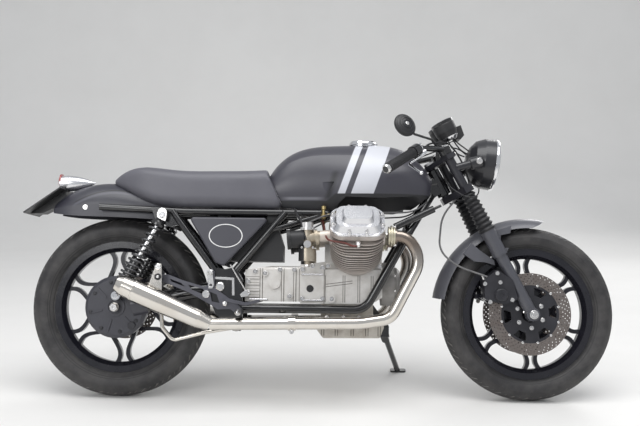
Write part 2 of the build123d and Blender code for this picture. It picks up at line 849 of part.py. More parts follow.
# Swingarm with its cross tube, axle and final drive
arm_y = 100
shock_y = 142
shock_seat = shock_y - 15
shock_top = Vector(168, shock_y, 658)
shock_low = Vector(8, shock_y, 368)
drive_radius = 112
drive_face = 110
with BuildPart() as swingarm:
    rod(both(swing_pivot.X, plate_y - 2, swing_pivot.Z), 52)
    rod([(swing_pivot.X, 66, swing_pivot.Z), (290, arm_y, 388), (-8, arm_y, rear_radius)], 44, [120])
    disc((0, arm_y - 24, rear_radius), (0, 1, 0), 34, 46)
    slab([(-12, 340), (36, 346), (22, 376), (-6, 376)], shock_seat, arm_y)
    rod([(swing_pivot.X, -66, swing_pivot.Z), (290, -arm_y, 388), (100, -arm_y, 344)], 50, [120])
    pin_reach = plate_y + plate_width + 6
    disc((swing_pivot.X, -pin_reach, swing_pivot.Z), (0, 1, 0), 9.9, 2 * pin_reach)
    disc((0, 0, rear_radius), (0, 1, 0), axle_diameter / 2, 300, mode=Mode.SUBTRACT)

with BuildPart() as final_drive:
    disc((0, -hub_half - 22, rear_radius), (0, -1, 0), drive_radius, drive_face - hub_half - 22)
    chamfer(final_drive.part.faces().sort_by(Axis.Y)[0].edges(), 12)
    with BuildSketch(Plane((0, -drive_face, rear_radius), x_dir=(1, 0, 0), z_dir=(0, -1, 0))):
        with PolarLocations(70, 6, start_angle=14):
            Rectangle(46, 5)
        Circle(34)
        Circle(26, mode=Mode.SUBTRACT)
    extrude(amount=4)
    rod([(60, -arm_y, 336), (112, -arm_y, 347)], 84)
    disc((shock_low.X, -arm_y, shock_low.Z), (0, -1, 0), 17, shock_seat - arm_y)
    disc((0, 0, rear_radius), (0, -1, 0), axle_diameter / 2, 300, mode=Mode.SUBTRACT)
pieces["final_drive"] = final_drive

with BuildPart() as swingarm_coped:
    add(swingarm.part)
    add(final_drive.part, mode=Mode.SUBTRACT)
pieces["swingarm"] = swingarm_coped

with BuildPart() as rear_axle:
    disc((0, 136, rear_radius), (0, -1, 0), axle_diameter / 2, 268)
    disc((0, 136, rear_radius), (0, -1, 0), 16, 14)
    disc((0, -118, rear_radius), (0, -1, 0), 16, 14)
    disc((0, 136, rear_radius), (0, -1, 0), axle_bore / 2, 268, mode=Mode.SUBTRACT)
    add(final_drive.part, mode=Mode.SUBTRACT)
    add(swingarm_coped.part, mode=Mode.SUBTRACT)
pieces["rear_axle"] = rear_axle

coil_turns = 12
coil_pitch = 19.5
shock_way = (shock_top - shock_low).normalized()
coil_way = shock_way.rotate(Axis.Y, 10)
with BuildPart() as shock_absorbers:
    rod([shock_low, shock_top], 18)
    rod([shock_low + shock_way * 22, shock_low + shock_way * 44], 56)
    rod([shock_low + shock_way * 44, shock_low + shock_way * 150], 40)
    for turn in range(coil_turns):
        disc(shock_low + shock_way * (52 + turn * coil_pitch), coil_way, 27, 8)
    rod([shock_low + shock_way * (52 + coil_turns * coil_pitch), shock_low + shock_way * 302], 48)
    disc(shock_top - Vector(0, 15, 0), (0, 1, 0), 17, 30)
    disc(shock_low - Vector(0, 15, 0), (0, 1, 0), 17, 30)
    disc((shock_top.X, rail_edge + 6, shock_top.Z), (0, 1, 0), 8, 36)
    mirror(about=Plane.XZ)
    add(frame_rails.part, mode=Mode.SUBTRACT)
    add(final_drive.part, mode=Mode.SUBTRACT)
pieces["shock_absorbers"] = shock_absorbers

rearset_y = 134
rearset_windows = (
    ((198, 431), (238, 417), (256, 402), (204, 421)),
    ((264, 411), (318, 396), (330, 373), (277, 393)),
    ((343, 387), (350, 352), (378, 347), (367, 377)),
)
with BuildPart() as rearsets:
    slab(
        [
            (150, 446), (192, 446), (243, 427), (322, 404), (334, 410), (333, 462), (350, 470), (358, 458),
            (360, 402), (371, 392), (433, 350), (462, 324), (462, 306), (446, 304), (416, 326), (371, 324),
            (350, 338), (268, 383), (185, 416), (150, 428),
        ],
        rearset_y + 8,
        rearset_y,
    )
    for window in rearset_windows:
        slab(window, rearset_y + 8, rearset_y, mode=Mode.SUBTRACT)
    disc((454, rearset_y, 316), (0, 1, 0), 11, 96)
    disc((345, plate_y + plate_width, 455), (0, 1, 0), 10, rearset_y - plate_y - plate_width)
    disc((398, plate_y + plate_width, 345), (0, 1, 0), 10, rearset_y - plate_y - plate_width)
    disc((164, rearset_y + 8, 437), (0, 1, 0), 9, hanger_y - rearset_y - 8)
    mirror(about=Plane.XZ)
pieces["rearsets"] = rearsets

with BuildPart() as battery_box:
    slab(
        [(345, 500), (600, 500), (600, 560), (570, 655), (330, 655), (330, 520)],
        battery_half,
        -battery_half,
    )
    for x in (360, 540):
        slab([(x, 640), (x + 30, 640), (x + 30, 680), (x, 680)], rail_inside, -rail_inside)
pieces["battery_box"] = battery_box

with BuildPart() as steering_damper:
    rod([(1003, -142, 626), (1145, -120, 695)], 26)
    rod([(1003, -142, 626), (1172, -116, 708)], 10)
    rod([(1050, -96, 622), (1042, -136, 645)], 12)
    add(frame_cradle.part, mode=Mode.SUBTRACT)
pieces["steering_damper"] = steering_damper

with BuildPart() as horns:
    disc((1041, -44, 612), (0.8, 0, -0.3), 34, 24)
    disc((1041, 44, 612), (0.8, 0, -0.3), 34, 24)
    rod(both(1037, cradle_y, 610), 12)
    add(frame_cradle.part, mode=Mode.SUBTRACT)
pieces["horns"] = horns

# Fork: stem, yokes and tubes as one, on the steering axis
tube_diameter = 35
yoke_low = 498
yoke_high = 638
with BuildPart() as fork_yokes:
    for at, depth in ((yoke_low, 26), (yoke_high, 18)):
        with BuildSketch(head.offset(at)):
            with BuildLine():
                Polyline((-22, 22), (-22, -22), (52, -122), (84, -122), (84, 122), (52, 122), close=True)
            make_face()
        extrude(amount=depth)
    with BuildSketch(head.offset(yoke_low)):
        Circle(stem_diameter / 2)
    extrude(amount=yoke_high + 18 - yoke_low)
    with BuildSketch(fork.offset(340)):
        with GridLocations(0, 2 * fork_half, 1, 2):
            Circle(tube_diameter / 2)
    extrude(amount=326)
pieces["fork_yokes"] = fork_yokes

slider_diameter = 43
with BuildPart() as fork_sliders:
    with BuildSketch(fork.offset(-16)):
        with Locations((0, fork_half)):
            Circle(slider_diameter / 2)
    extrude(amount=356)
    with BuildSketch(fork.offset(240)):
        with Locations((0, fork_half)):
            Circle(27)
    extrude(amount=100)
    disc((wheelbase, fork_half - 20, front_radius), (0, 1, 0), 24, 44)
    disc((wheelbase, 0, front_radius), (0, 1, 0), axle_diameter / 2, 300, mode=Mode.SUBTRACT)
    mirror(about=Plane.XZ)
pieces["fork_sliders"] = fork_sliders

gaiter_low = 340
gaiter_high = 496
with BuildPart() as fork_gaiters:
    ribs = 9
    pitch = (gaiter_high - gaiter_low) / ribs
    with BuildSketch(Plane(fork.origin + Vector(0, fork_half, 0), x_dir=head_x, z_dir=(0, -1, 0))):
        with BuildLine():
            profile = [(tube_diameter / 2, gaiter_low)]
            for rib in range(ribs):
                outer = 34 - rib * 0.8
                profile.append((outer - 7, gaiter_low + rib * pitch))
                profile.append((outer, gaiter_low + (rib + 0.5) * pitch))
            profile.append((20, gaiter_high))
            profile.append((tube_diameter / 2, gaiter_high))
            Polyline(*profile, close=True)
        make_face()
    revolve(axis=Axis(fork.origin + Vector(0, fork_half, 0), head_z))
    mirror(about=Plane.XZ)
pieces["fork_gaiters"] = fork_gaiters

lamp_dip = 8
lamp_way = Vector(cos(radians(lamp_dip)), 0, -sin(radians(lamp_dip)))
lamp_face = steer(155.7, 0, 546.3)
# Columns: distance behind the glass, radius
lamp_rings = ((0, 91), (8, 96), (46, 94), (78, 80), (98, 54), (108, 24))
with BuildPart() as headlamp:
    for back, radius in lamp_rings:
        with BuildSketch(Plane(lamp_face - lamp_way * back, x_dir=(0, 1, 0), z_dir=lamp_way)):
            Circle(radius)
    loft(ruled=True)
    for way in (-1, 1):
        rod([steer(100, way * 98, 578), steer(6.7, way * 98, 598)], 30)
        rod([steer(100, way * 98, 578), steer(60, way * 98, 586)], 46)
    add(fork_yokes.part, mode=Mode.SUBTRACT)
pieces["headlamp"] = headlamp

gauge_x = 48
# Columns: distance up the fork legs, radius
gauge_rings = ((700, 24), (712, 34), (736, 42), (762, 43), (772, 40))
with BuildPart() as instruments:
    for way in (-1, 1):
        for at, radius in gauge_rings:
            with BuildSketch(fork.offset(at)):
                with Locations((gauge_x, way * 46)):
                    Circle(radius)
        loft(ruled=True)
        rod([steer(-15, way * 48, 651), steer(25, way * 48, 736)], 20)
    slab(fork_side([(60, 742), (112, 737), (106, 697), (88, 690), (40, 710)]), 30, -30)
    add(fork_yokes.part, mode=Mode.SUBTRACT)
pieces["instruments"] = instruments

bar_bend = steer(-94.7, 200, 714.5)
bar_end = steer(-246.9, 330, 692.3)
bar_diameter = 22
with BuildPart() as handlebars:
    with BuildSketch(fork.offset(yoke_high + 20)):
        with Locations((0, fork_half)):
            Circle(25)
    extrude(amount=26)
    rod([steer(3.3, fork_half + 4, 677.1), bar_bend, bar_end], bar_diameter, [60])
    rod([bar_bend + (bar_end - bar_bend) * 0.26, bar_end], bar_diameter + 12)
    rod([bar_bend + (bar_end - bar_bend) * 0.08, bar_bend + (bar_end - bar_bend) * 0.24], bar_diameter + 24)
    rod([bar_end, bar_end + (bar_end - bar_bend) * 0.07], bar_diameter + 2)
    add(fork_yokes.part, mode=Mode.SUBTRACT)
    mirror(about=Plane.XZ)
pieces["handlebars"] = handlebars

with BuildPart() as levers:
    rod([steer(-88, 205, 688), steer(-167, 258, 677), steer(-154, 332, 625)], 9, [14])
    rod([steer(-112, 208, 695), steer(-85, 196, 694.5)], 26)
    with Locations(steer(-154, 332, 625)):
        Sphere(7)
    add(handlebars.part, mode=Mode.SUBTRACT)
    mirror(about=Plane.XZ)
pieces["levers"] = levers

mirror_centre = steer(-125.6, -300, 799)
mirror_way = Vector(0.42, -0.86, 0.28).normalized()
# Columns: distance behind the glass, radius
mirror_rings = ((0, 38), (3, 41), (11, 40), (18, 30), (22, 14))
with BuildPart() as mirror_piece:
    for at, radius in mirror_rings:
        with BuildSketch(Plane(mirror_centre + mirror_way * at, z_dir=mirror_way)):
            Circle(radius)
    loft(ruled=True)
    rod(
        [
            mirror_centre + mirror_way * 14,
            steer(-98.8, -256, 762),
            steer(-39.4, -180, 724.7),
            steer(-28.8, -140, 702.1),
        ],
        9,
        [20, 20],
    )
    add(handlebars.part, mode=Mode.SUBTRACT)
pieces["mirror"] = mirror_piece

# Front fender: a crowned shell round the tyre
fender_from = 80
fender_to = 171
fender_brackets = (
    ((31, 328), (89, 317), (46, 251), (16, 229), (6, 239)),
    ((-113, 306), (-70, 329), (-54, 289), (-26, 235), (-31, 217), (-58, 243), (-92, 264)),
)
with BuildPart() as front_fender:
    tip = Vector(sin(radians(fender_from)), 0, -cos(radians(fender_from)))
    with BuildSketch(Plane(front_axle_at, x_dir=(0, 1, 0), z_dir=tip)):
        with BuildLine():
            ThreePointArc((-62, 316), (0, 354), (62, 316))
            Line((62, 316), (59, 316))
            ThreePointArc((59, 316), (0, 351), (-59, 316))
            Line((-59, 316), (-62, 316))
        make_face()
    revolve(axis=Axis(front_axle_at, (0, -1, 0)), revolution_arc=fender_to - fender_from)
    for bracket in fender_brackets:
        slab(fork_side(bracket), 76, 58)
        slab(fork_side(bracket), -58, -76)
    slab([(1397, 606), (1508, 630), (1545, 647), (1570, 664), (1640, 664), (1640, 560), (1397, 560)], 80, -80,
         mode=Mode.SUBTRACT)
    add(fork_sliders.part, mode=Mode.SUBTRACT)
pieces["front_fender"] = front_fender

caliper_outline = [(-40, 204), (-100, 191), (-130, 128), (-76, 81), (-24, 73), (-9, 142)]
caliper_face = 122
disc_gap = 9
with BuildPart() as front_calipers:
    plate(fork_side(caliper_outline), caliper_face, disc_y + disc_gap, 10)
    plate(fork_side(caliper_outline), disc_y - disc_gap, hub_half + 1, 10)
    slab(fork_side([(-40, 204), (-100, 191), (-124, 140), (-104, 132), (-80, 150), (-44, 164)]),
         disc_y + disc_gap + 1, hub_half + 1)
    disc(steer(-71, caliper_face, 115), (0, 1, 0), 24, 6)
    mirror(about=Plane.XZ)
    add(fork_sliders.part, mode=Mode.SUBTRACT)
pieces["front_calipers"] = front_calipers

with BuildPart() as front_axle:
    disc((wheelbase, 128, front_radius), (0, -1, 0), axle_diameter / 2, 256)
    disc((wheelbase, 128, front_radius), (0, -1, 0), 15, 9)
    disc((wheelbase, -119, front_radius), (0, -1, 0), 15, 9)
    disc((wheelbase, 128, front_radius), (0, -1, 0), axle_bore / 2, 256, mode=Mode.SUBTRACT)
pieces["front_axle"] = front_axle

# Hoses: the brake hose down to the right caliper, and a throttle cable to each carburettor
with BuildPart() as brake_hose:
    rod(
        [
            steer(-40, -60, yoke_low),
            steer(-119, -62, 464),
            steer(-188, -70, 360),
            steer(-161, -95, 279.5),
            steer(-84, -caliper_face + 1, 196),
        ],
        7,
        [132, 80, 194],
    )
    add(front_calipers.part, mode=Mode.SUBTRACT)
    add(fork_yokes.part, mode=Mode.SUBTRACT)
pieces["brake_hose"] = brake_hose

for way, hand in ((-1, "right"), (1, "left")):
    with BuildPart() as throttle_cable:
        rod(
            [
                (1128, way * 60, 728),
                (1075, way * 108, 684),
                (930, way * 112, 676),
                (760, way * 150, 668),
                (692, way * pipe_y, 634),
            ],
            6,
            [85, 676, 100],
        )
        add(frame_cradle.part, mode=Mode.SUBTRACT)
        add(frame_head_coped.part, mode=Mode.SUBTRACT)
        add(carburettors.part, mode=Mode.SUBTRACT)
    pieces[f"throttle_cable_{hand}"] = throttle_cable

# Side stand: swings on a lug under the left cradle tube
with BuildPart() as side_stand:
    rod([stand_pivot + stand_way * 36, foot], 22)
    for at in (-lug_half - stand_gap - ear, lug_half + stand_gap):
        with BuildSketch(stand_plane.offset(at)):
            SlotCenterPoint((22, 0), (44, 0), 30)
            Circle(stand_pin / 2 + running_gap, mode=Mode.SUBTRACT)
        extrude(amount=ear)
    with BuildSketch(road_plane):
        with Locations(road_plane.to_local_coords(foot)):
            RectangleRounded(64, 40, 12)
    extrude(amount=7)
    split(bisect_by=road_plane, keep=Keep.TOP)
pieces["side_stand"] = side_stand

# Centre stand: folded back under the swingarm, its eyes on the pins of the pivot plates
centre_y = 142
stand_tube = 14
with BuildPart() as centre_stand:
    rod(
        [
            (centre_pivot.X, centre_y, centre_pivot.Z),
            (326, centre_y, 242),
            (215, centre_y, 213),
            (176, centre_y, 258),
            (171, centre_y, 312),
        ],
        stand_tube,
        [60, 22, 22],
    )
    disc((centre_pivot.X, centre_y - 9, centre_pivot.Z), (0, 1, 0), 15, 18)
    bore = stand_pin / 2 + running_gap
    disc((centre_pivot.X, centre_y - 9, centre_pivot.Z), (0, 1, 0), bore, 18, mode=Mode.SUBTRACT)
    mirror(about=Plane.XZ)
    rod(both(centre_pivot.X - 40, centre_y, centre_pivot.Z - 7), stand_tube)
pieces["centre_stand"] = centre_stand

# Lean to the left, set down on the road, and centre on the floor
lift = crown_radius * (1 - cos(radians(lean)))
leaned = {name: piece.part.rotate(Axis.X, -lean) for name, piece in pieces.items()}
box = Compound([shape for shape in leaned.values()]).bounding_box()
shift = Vector(-(box.min.X + box.max.X) / 2, -(box.min.Y + box.max.Y) / 2, lift)
print("box", box.size, "lowest", box.min.Z + lift)
print("shift", [round(value, 4) for value in shift])

os.makedirs("parts", exist_ok=True)
for name, shape in leaned.items():
    parked = shape.moved(Location(shift))
    parked.label = name
    export_step(parked, f"parts/{name}.step")

# Joint places and axes as parked, in metres
joints = {
    "steering": (head.from_local_coords(Vector(0, 0, (head_low + head_high) / 2)), head_z),
    "front_wheel": (front_axle_at, Vector(0, 1, 0)),
    "rear_wheel": (rear_axle_at, Vector(0, 1, 0)),
    "side_stand": (stand_pivot, stand_axis),
    "centre_stand": (centre_pivot, Vector(0, -1, 0)),
}
for name, (at, axis) in joints.items():
    at = at.rotate(Axis.X, -lean) + shift
    axis = axis.rotate(Axis.X, -lean)
    print(name, [round(value / 1000, 6) for value in at], [round(value, 6) for value in axis])
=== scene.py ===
import json
import math

import bmesh
import bpy
from mathutils import Matrix, Vector


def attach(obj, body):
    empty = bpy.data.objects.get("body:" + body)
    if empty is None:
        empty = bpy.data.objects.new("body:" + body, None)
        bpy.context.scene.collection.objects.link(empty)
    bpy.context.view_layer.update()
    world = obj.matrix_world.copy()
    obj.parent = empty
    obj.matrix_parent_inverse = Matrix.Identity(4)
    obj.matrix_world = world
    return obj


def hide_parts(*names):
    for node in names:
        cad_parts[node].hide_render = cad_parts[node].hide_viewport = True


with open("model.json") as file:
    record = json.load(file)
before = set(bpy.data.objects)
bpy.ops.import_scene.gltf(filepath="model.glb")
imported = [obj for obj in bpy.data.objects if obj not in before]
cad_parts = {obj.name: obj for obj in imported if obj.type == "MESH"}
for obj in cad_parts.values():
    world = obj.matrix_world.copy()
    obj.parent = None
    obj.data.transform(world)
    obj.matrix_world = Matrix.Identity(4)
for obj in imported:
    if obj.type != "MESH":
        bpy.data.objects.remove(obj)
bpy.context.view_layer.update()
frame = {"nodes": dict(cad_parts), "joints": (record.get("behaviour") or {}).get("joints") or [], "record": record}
scene = bpy.context.scene
scene.view_settings.view_transform = "Standard"

# The machine is measured upright in millimetres, x forward from the rear axle, y to the rider's left, z up
# from the road, and leaned onto its side stand. The rear wheel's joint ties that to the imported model.
LEAN = math.radians(10)
RAKE = math.radians(28)
WHEELBASE = 1505
REAR_RADIUS = 327.6
FRONT_RADIUS = 318.6
CRANK_X = 865
CRANK_Z = 410
LEANED = Matrix.Rotation(-LEAN, 3, "X")
REAR_AXLE = next(Vector(joint["pos_m"]) for joint in frame["joints"] if joint["name"] == "rear_wheel_spin")

# The two sides' names, each with the sign of its y
SIDES = (("right", -1), ("left", 1))
LEFT = (0, 1, 0)
FRONT = (1, 0, 0)


def place(x, y, z):
    """A point measured upright in millimetres, as parked, in metres."""
    return REAR_AXLE + LEANED @ Vector((x, y, z - REAR_RADIUS)) / 1000


def way(x, y, z):
    """A direction measured upright, as parked."""
    return (LEANED @ Vector((x, y, z))).normalized()


def steer(x, y, z):
    """An upright point given from the front axle: x square to the fork legs, y to the left, z up the legs."""
    forward = x * math.cos(RAKE) - z * math.sin(RAKE)
    up = x * math.sin(RAKE) + z * math.cos(RAKE)
    return (WHEELBASE + forward, y, FRONT_RADIUS + up)


def bank(u, v, w, outward):
    """An upright point on one side's cylinder: u forward, v across it, w out along it from the crank."""
    return (CRANK_X + u, (v + outward * w) / 2 ** 0.5, CRANK_Z + (w - outward * v) / 2 ** 0.5)


# Shared effects

def socket_group(name, inputs, outputs):
    """An empty node group with named inputs and outputs."""
    group = bpy.data.node_groups.new(name, "ShaderNodeTree")
    for label, value in inputs.items():
        kind = "NodeSocketColor" if isinstance(value, tuple) else "NodeSocketFloat"
        group.interface.new_socket(label, in_out="INPUT", socket_type=kind).default_value = value
    for label, kind in outputs.items():
        group.interface.new_socket(label, in_out="OUTPUT", socket_type=kind)
    return group, group.nodes.new("NodeGroupInput"), group.nodes.new("NodeGroupOutput")


def node(tree, kind, links=(), **settings):
    """A node with its settings, and its inputs linked to sockets or set to values."""
    made = tree.nodes.new(kind)
    for label, value in settings.items():
        setattr(made, label, value)
    for label, value in dict(links).items():
        if isinstance(value, bpy.types.NodeSocket):
            tree.links.new(value, made.inputs[label])
        else:
            made.inputs[label].default_value = value
    return made


def reckon(tree, first, second, operation="MULTIPLY", third=0.0):
    """The output of one math node."""
    return node(tree, "ShaderNodeMath", {0: first, 1: second, 2: third}, operation=operation).outputs["Value"]


def build_grain():
    """Fine surface grain: a height, and a roughness that wanders between two values."""
    group, given, out = socket_group(
        "surface grain",
        {"Scale": 900.0, "Patch Scale": 14.0, "Low": 0.3, "High": 0.5},
        {"Height": "NodeSocketFloat", "Roughness": "NodeSocketFloat"},
    )
    at = node(group, "ShaderNodeTexCoord").outputs["Object"]
    fine = node(group, "ShaderNodeTexNoise", {"Vector": at, "Scale": given.outputs["Scale"], "Detail": 3.0})
    patch = node(group, "ShaderNodeTexNoise",
                 {"Vector": at, "Scale": given.outputs["Patch Scale"], "Detail": 5.0})
    rough = node(
        group, "ShaderNodeMapRange",
        {"Value": patch.outputs["Fac"], "From Min": 0.3, "From Max": 0.7,
         "To Min": given.outputs["Low"], "To Max": given.outputs["High"]},
    )
    group.links.new(fine.outputs["Fac"], out.inputs["Height"])
    group.links.new(rough.outputs["Result"], out.inputs["Roughness"])
    return group


def build_stain():
    """Two colours mixed by soft patches."""
    group, given, out = socket_group(
        "stain",
        {"Clean": (0.5, 0.5, 0.5, 1.0), "Stained": (0.3, 0.28, 0.25, 1.0), "Scale": 18.0, "Amount": 0.5},
        {"Color": "NodeSocketColor"},
    )
    at = node(group, "ShaderNodeTexCoord").outputs["Object"]
    patch = node(group, "ShaderNodeTexNoise",
                 {"Vector": at, "Scale": given.outputs["Scale"], "Detail": 6.0, "Roughness": 0.62})
    spread = node(group, "ShaderNodeMapRange",
                  {"Value": patch.outputs["Fac"], "From Min": 0.38, "From Max": 0.72})
    share = reckon(group, spread.outputs["Result"], given.outputs["Amount"])
    mixed = node(group, "ShaderNodeMix", {0: share, 6: given.outputs["Clean"], 7: given.outputs["Stained"]},
                 data_type="RGBA")
    group.links.new(mixed.outputs[2], out.inputs["Color"])
    return group


def build_measure():
    """Where a point of the surface is on the upright machine, in millimetres."""
    group, _, out = socket_group("upright measure", {}, {axis: "NodeSocketFloat" for axis in "XYZ"})
    at = node(group, "ShaderNodeTexCoord").outputs["Object"]
    origin = place(0, 0, 0)
    for column, axis in enumerate("XYZ"):
        row = LEANED.transposed()[column] * 1000
        along = node(group, "ShaderNodeVectorMath", {0: at, 1: tuple(row)}, operation="DOT_PRODUCT")
        group.links.new(reckon(group, along.outputs["Value"], row.dot(origin), "SUBTRACT"), out.inputs[axis])
    return group


def build_band():
    """A mask that is 1 where a value lies between two ends, with soft edges."""
    group, given, out = socket_group("band", {"Value": 0.0, "Start": 0.0, "End": 1.0, "Edge": 1.0},
                                     {"Mask": "NodeSocketFloat"})
    rise = reckon(group, given.outputs["Value"], given.outputs["Start"], "SUBTRACT")
    fall = reckon(group, given.outputs["End"], given.outputs["Value"], "SUBTRACT")
    nearer = reckon(group, rise, fall, "MINIMUM")
    share = node(group, "ShaderNodeMath", {0: nearer, 1: given.outputs["Edge"]},
                 operation="DIVIDE", use_clamp=True)
    group.links.new(share.outputs["Value"], out.inputs["Mask"])
    return group


GRAIN = build_grain()
STAIN = build_stain()
MEASURE = build_measure()
BAND = build_band()


def finish(name, clean, stained, amount, patch, low, high, metallic=0.0, grain=900.0, bump=0.06,
           depth=0.0004, coat=0.0, coat_rough=0.1, specular=0.5):
    """A material over a fine grain. Its colour wanders from clean to stained by the amount and its
    roughness from low to high, both in patches of one scale."""
    made = bpy.data.materials.new(name)
    made.use_nodes = True
    tree = made.node_tree
    shader = tree.nodes["Principled BSDF"]
    colour = node(tree, "ShaderNodeGroup",
                  {"Clean": (*clean, 1.0), "Stained": (*stained, 1.0), "Scale": patch, "Amount": amount},
                  node_tree=STAIN)
    surface = node(tree, "ShaderNodeGroup", {"Scale": grain, "Patch Scale": patch, "Low": low, "High": high},
                   node_tree=GRAIN)
    tree.links.new(colour.outputs["Color"], shader.inputs["Base Color"])
    tree.links.new(surface.outputs["Roughness"], shader.inputs["Roughness"])
    emboss(made, surface.outputs["Height"], bump, depth)
    shader.inputs["Metallic"].default_value = metallic
    shader.inputs["Coat Weight"].default_value = coat
    shader.inputs["Coat Roughness"].default_value = coat_rough
    shader.inputs["Specular IOR Level"].default_value = specular
    return made


def emboss(material, height, strength, depth):
    """Shades the material by a height."""
    tree = material.node_tree
    raised = node(tree, "ShaderNodeBump", {"Strength": strength, "Distance": depth, "Height": height})
    tree.links.new(raised.outputs["Normal"], tree.nodes["Principled BSDF"].inputs["Normal"])


def measured(material):
    """The upright X, Y and Z of the material's surface."""
    return node(material.node_tree, "ShaderNodeGroup", node_tree=MEASURE).outputs


def slanted(material, along, across, level, slant):
    """A distance along the surface that falls by the slant for each step across it from a level."""
    tree = material.node_tree
    return reckon(tree, reckon(tree, across, level, "SUBTRACT"), -slant, "MULTIPLY_ADD", along)


def band(material, value, start, end, edge):
    """A soft-edged mask of the material's surface."""
    made = node(material.node_tree, "ShaderNodeGroup",
                {"Value": value, "Start": start, "End": end, "Edge": edge}, node_tree=BAND)
    return made.outputs["Mask"]


def both(material, first, second):
    """A mask where two masks overlap."""
    return reckon(material.node_tree, first, second)


def repaint(material, mask, colour, metallic=None, rough=None):
    """Lays a colour, and with it a metal or gloss, over the material where the mask is 1."""
    tree = material.node_tree
    shader = tree.nodes["Principled BSDF"]
    for label, value in (("Base Color", (*colour, 1.0)), ("Metallic", metallic), ("Roughness", rough)):
        if value is None:
            continue
        socket = shader.inputs[label]
        under = socket.links[0].from_socket if socket.links else socket.default_value
        if label == "Base Color":
            mixed = node(tree, "ShaderNodeMix", {0: mask, 6: under, 7: value}, data_type="RGBA").outputs[2]
        else:
            mixed = node(tree, "ShaderNodeMix", {0: mask, 2: under, 3: value}, data_type="FLOAT").outputs[0]
        tree.links.new(mixed, socket)


def shade_and_dirt_lines(material, value, places, within, half=1.5, colour=(0.13, 0.115, 0.10)):
    """Painted shade with dirt, in thin dark lines along joints and at the feet of ribs, where a second mask allows
    it.
    """
    lines = 0.0
    for at in places:
        line = band(material, value, at - half, at + half, 0.8)
        lines = reckon(material.node_tree, line, lines, "MAXIMUM")
    repaint(material, both(material, lines, within), colour, metallic=0.0, rough=0.7)


# Finishes, one for each material slot of the record

FINISHES = {
    "frame_black": finish("gloss frame enamel", (0.008, 0.008, 0.009), (0.016, 0.015, 0.014),
                          0.5, 22.0, 0.1, 0.24, coat=0.6),
    "cast_black": finish("satin cast black", (0.014, 0.014, 0.018), (0.028, 0.027, 0.034),
                         0.5, 16.0, 0.3, 0.46, bump=0.25, coat=0.15),
    "body_black": finish("satin body black", (0.044, 0.044, 0.055), (0.060, 0.059, 0.072),
                         0.5, 5.0, 0.34, 0.44, coat=0.25, coat_rough=0.3),
    "cast_alloy": finish("sand cast alloy", (0.66, 0.64, 0.60), (0.40, 0.37, 0.33),
                         0.5, 24.0, 0.4, 0.58, metallic=0.55, bump=0.4, depth=0.0006),
    "fin_alloy": finish("heat dulled fins", (0.50, 0.46, 0.43), (0.33, 0.27, 0.24),
                        0.5, 12.0, 0.42, 0.58, metallic=0.6, bump=0.35),
    "polished_alloy": finish("polished alloy", (0.75, 0.75, 0.77), (0.57, 0.56, 0.56),
                             0.3, 9.0, 0.18, 0.3, metallic=0.95, bump=0.1),
    "stainless": finish("polished stainless", (0.74, 0.71, 0.66), (0.60, 0.53, 0.45),
                        0.4, 12.0, 0.1, 0.2, metallic=1.0),
    "disc_steel": finish("drilled brake steel", (0.25, 0.222, 0.205), (0.15, 0.12, 0.108),
                         0.6, 30.0, 0.3, 0.44, metallic=0.9),
    "chrome": finish("bright chrome", (0.82, 0.82, 0.83), (0.64, 0.63, 0.62),
                     0.3, 30.0, 0.05, 0.12, metallic=1.0, bump=0.02),
    "seat_leather": finish("black seat leather", (0.100, 0.099, 0.115), (0.130, 0.128, 0.147),
                           0.5, 8.0, 0.38, 0.5, grain=520.0, bump=0.55, depth=0.0006),
    "tyre_rubber": finish("tyre rubber", (0.030, 0.029, 0.030), (0.060, 0.057, 0.056),
                          0.55, 9.0, 0.52, 0.7, bump=0.3),
    "gaiter_rubber": finish("gaiter rubber", (0.016, 0.016, 0.018), (0.032, 0.031, 0.032),
                            0.5, 18.0, 0.42, 0.6),
    "hose_rubber": finish("braided hose", (0.10, 0.10, 0.105), (0.20, 0.19, 0.18),
                          0.6, 60.0, 0.35, 0.5, grain=1500.0, bump=0.5),
    "matt_black": finish("matt black", (0.016, 0.016, 0.017), (0.028, 0.027, 0.027),
                         0.4, 16.0, 0.38, 0.52, bump=0.2),
}


# Finishes of single pieces: the same paint or metal, with its stripes, tints, dark lines at joints and ribs,
# painted shade and painted highlights

def tank_finish():
    """Body paint with two raked stripes and a pin line, painted shade in the knee recess, a painted highlight
    along the lower edge, and painted shade over the underside and over the lower front below the crease.
    """
    paint = finish("striped tank paint", (0.042, 0.041, 0.052), (0.055, 0.054, 0.067), 0.5, 5.0, 0.33, 0.42,
                   coat=0.25, coat_rough=0.3)
    at = measured(paint)
    forward, level = at["X"], at["Z"]
    rake = slanted(paint, forward, level, 741, 0.36)
    for start, end in ((793, 821), (841, 924)):
        repaint(paint, band(paint, rake, start, end, 1.2), (0.57, 0.58, 0.62), rough=0.36)
    repaint(paint, band(paint, rake, 790, 793, 0.8), (0.10, 0.10, 0.11))
    # Painted shade at the front of the knee recess
    recess_shade = band(paint, slanted(paint, forward, level, 780, 0.28), 757, 793, 15)
    repaint(paint, both(paint, recess_shade, band(paint, level, 722, 836, 14)), (0.011, 0.011, 0.014))
    # A painted highlight along the tank's lower edge
    lip_level = 722
    lip_highlight = both(paint, band(paint, level, lip_level, 737, 5), band(paint, forward, 588, 752, 32))
    repaint(paint, lip_highlight, (0.15, 0.15, 0.17))
    # Painted shade over the underside, below the lower edge
    underside_shade = both(paint, band(paint, level, 600, lip_level, 2.5), band(paint, forward, 400, 800, 8))
    repaint(paint, underside_shade, (0.011, 0.011, 0.014), rough=0.5)
    # Painted shade over the lower front, below the crease where the tank curves under
    crease_level = 749
    ahead = band(paint, slanted(paint, forward, level, crease_level, 1.2), 785, 2000, 8)
    repaint(paint, both(paint, band(paint, level, 600, crease_level, 2.5), ahead), (0.009, 0.009, 0.011),
            rough=0.5)
    return paint


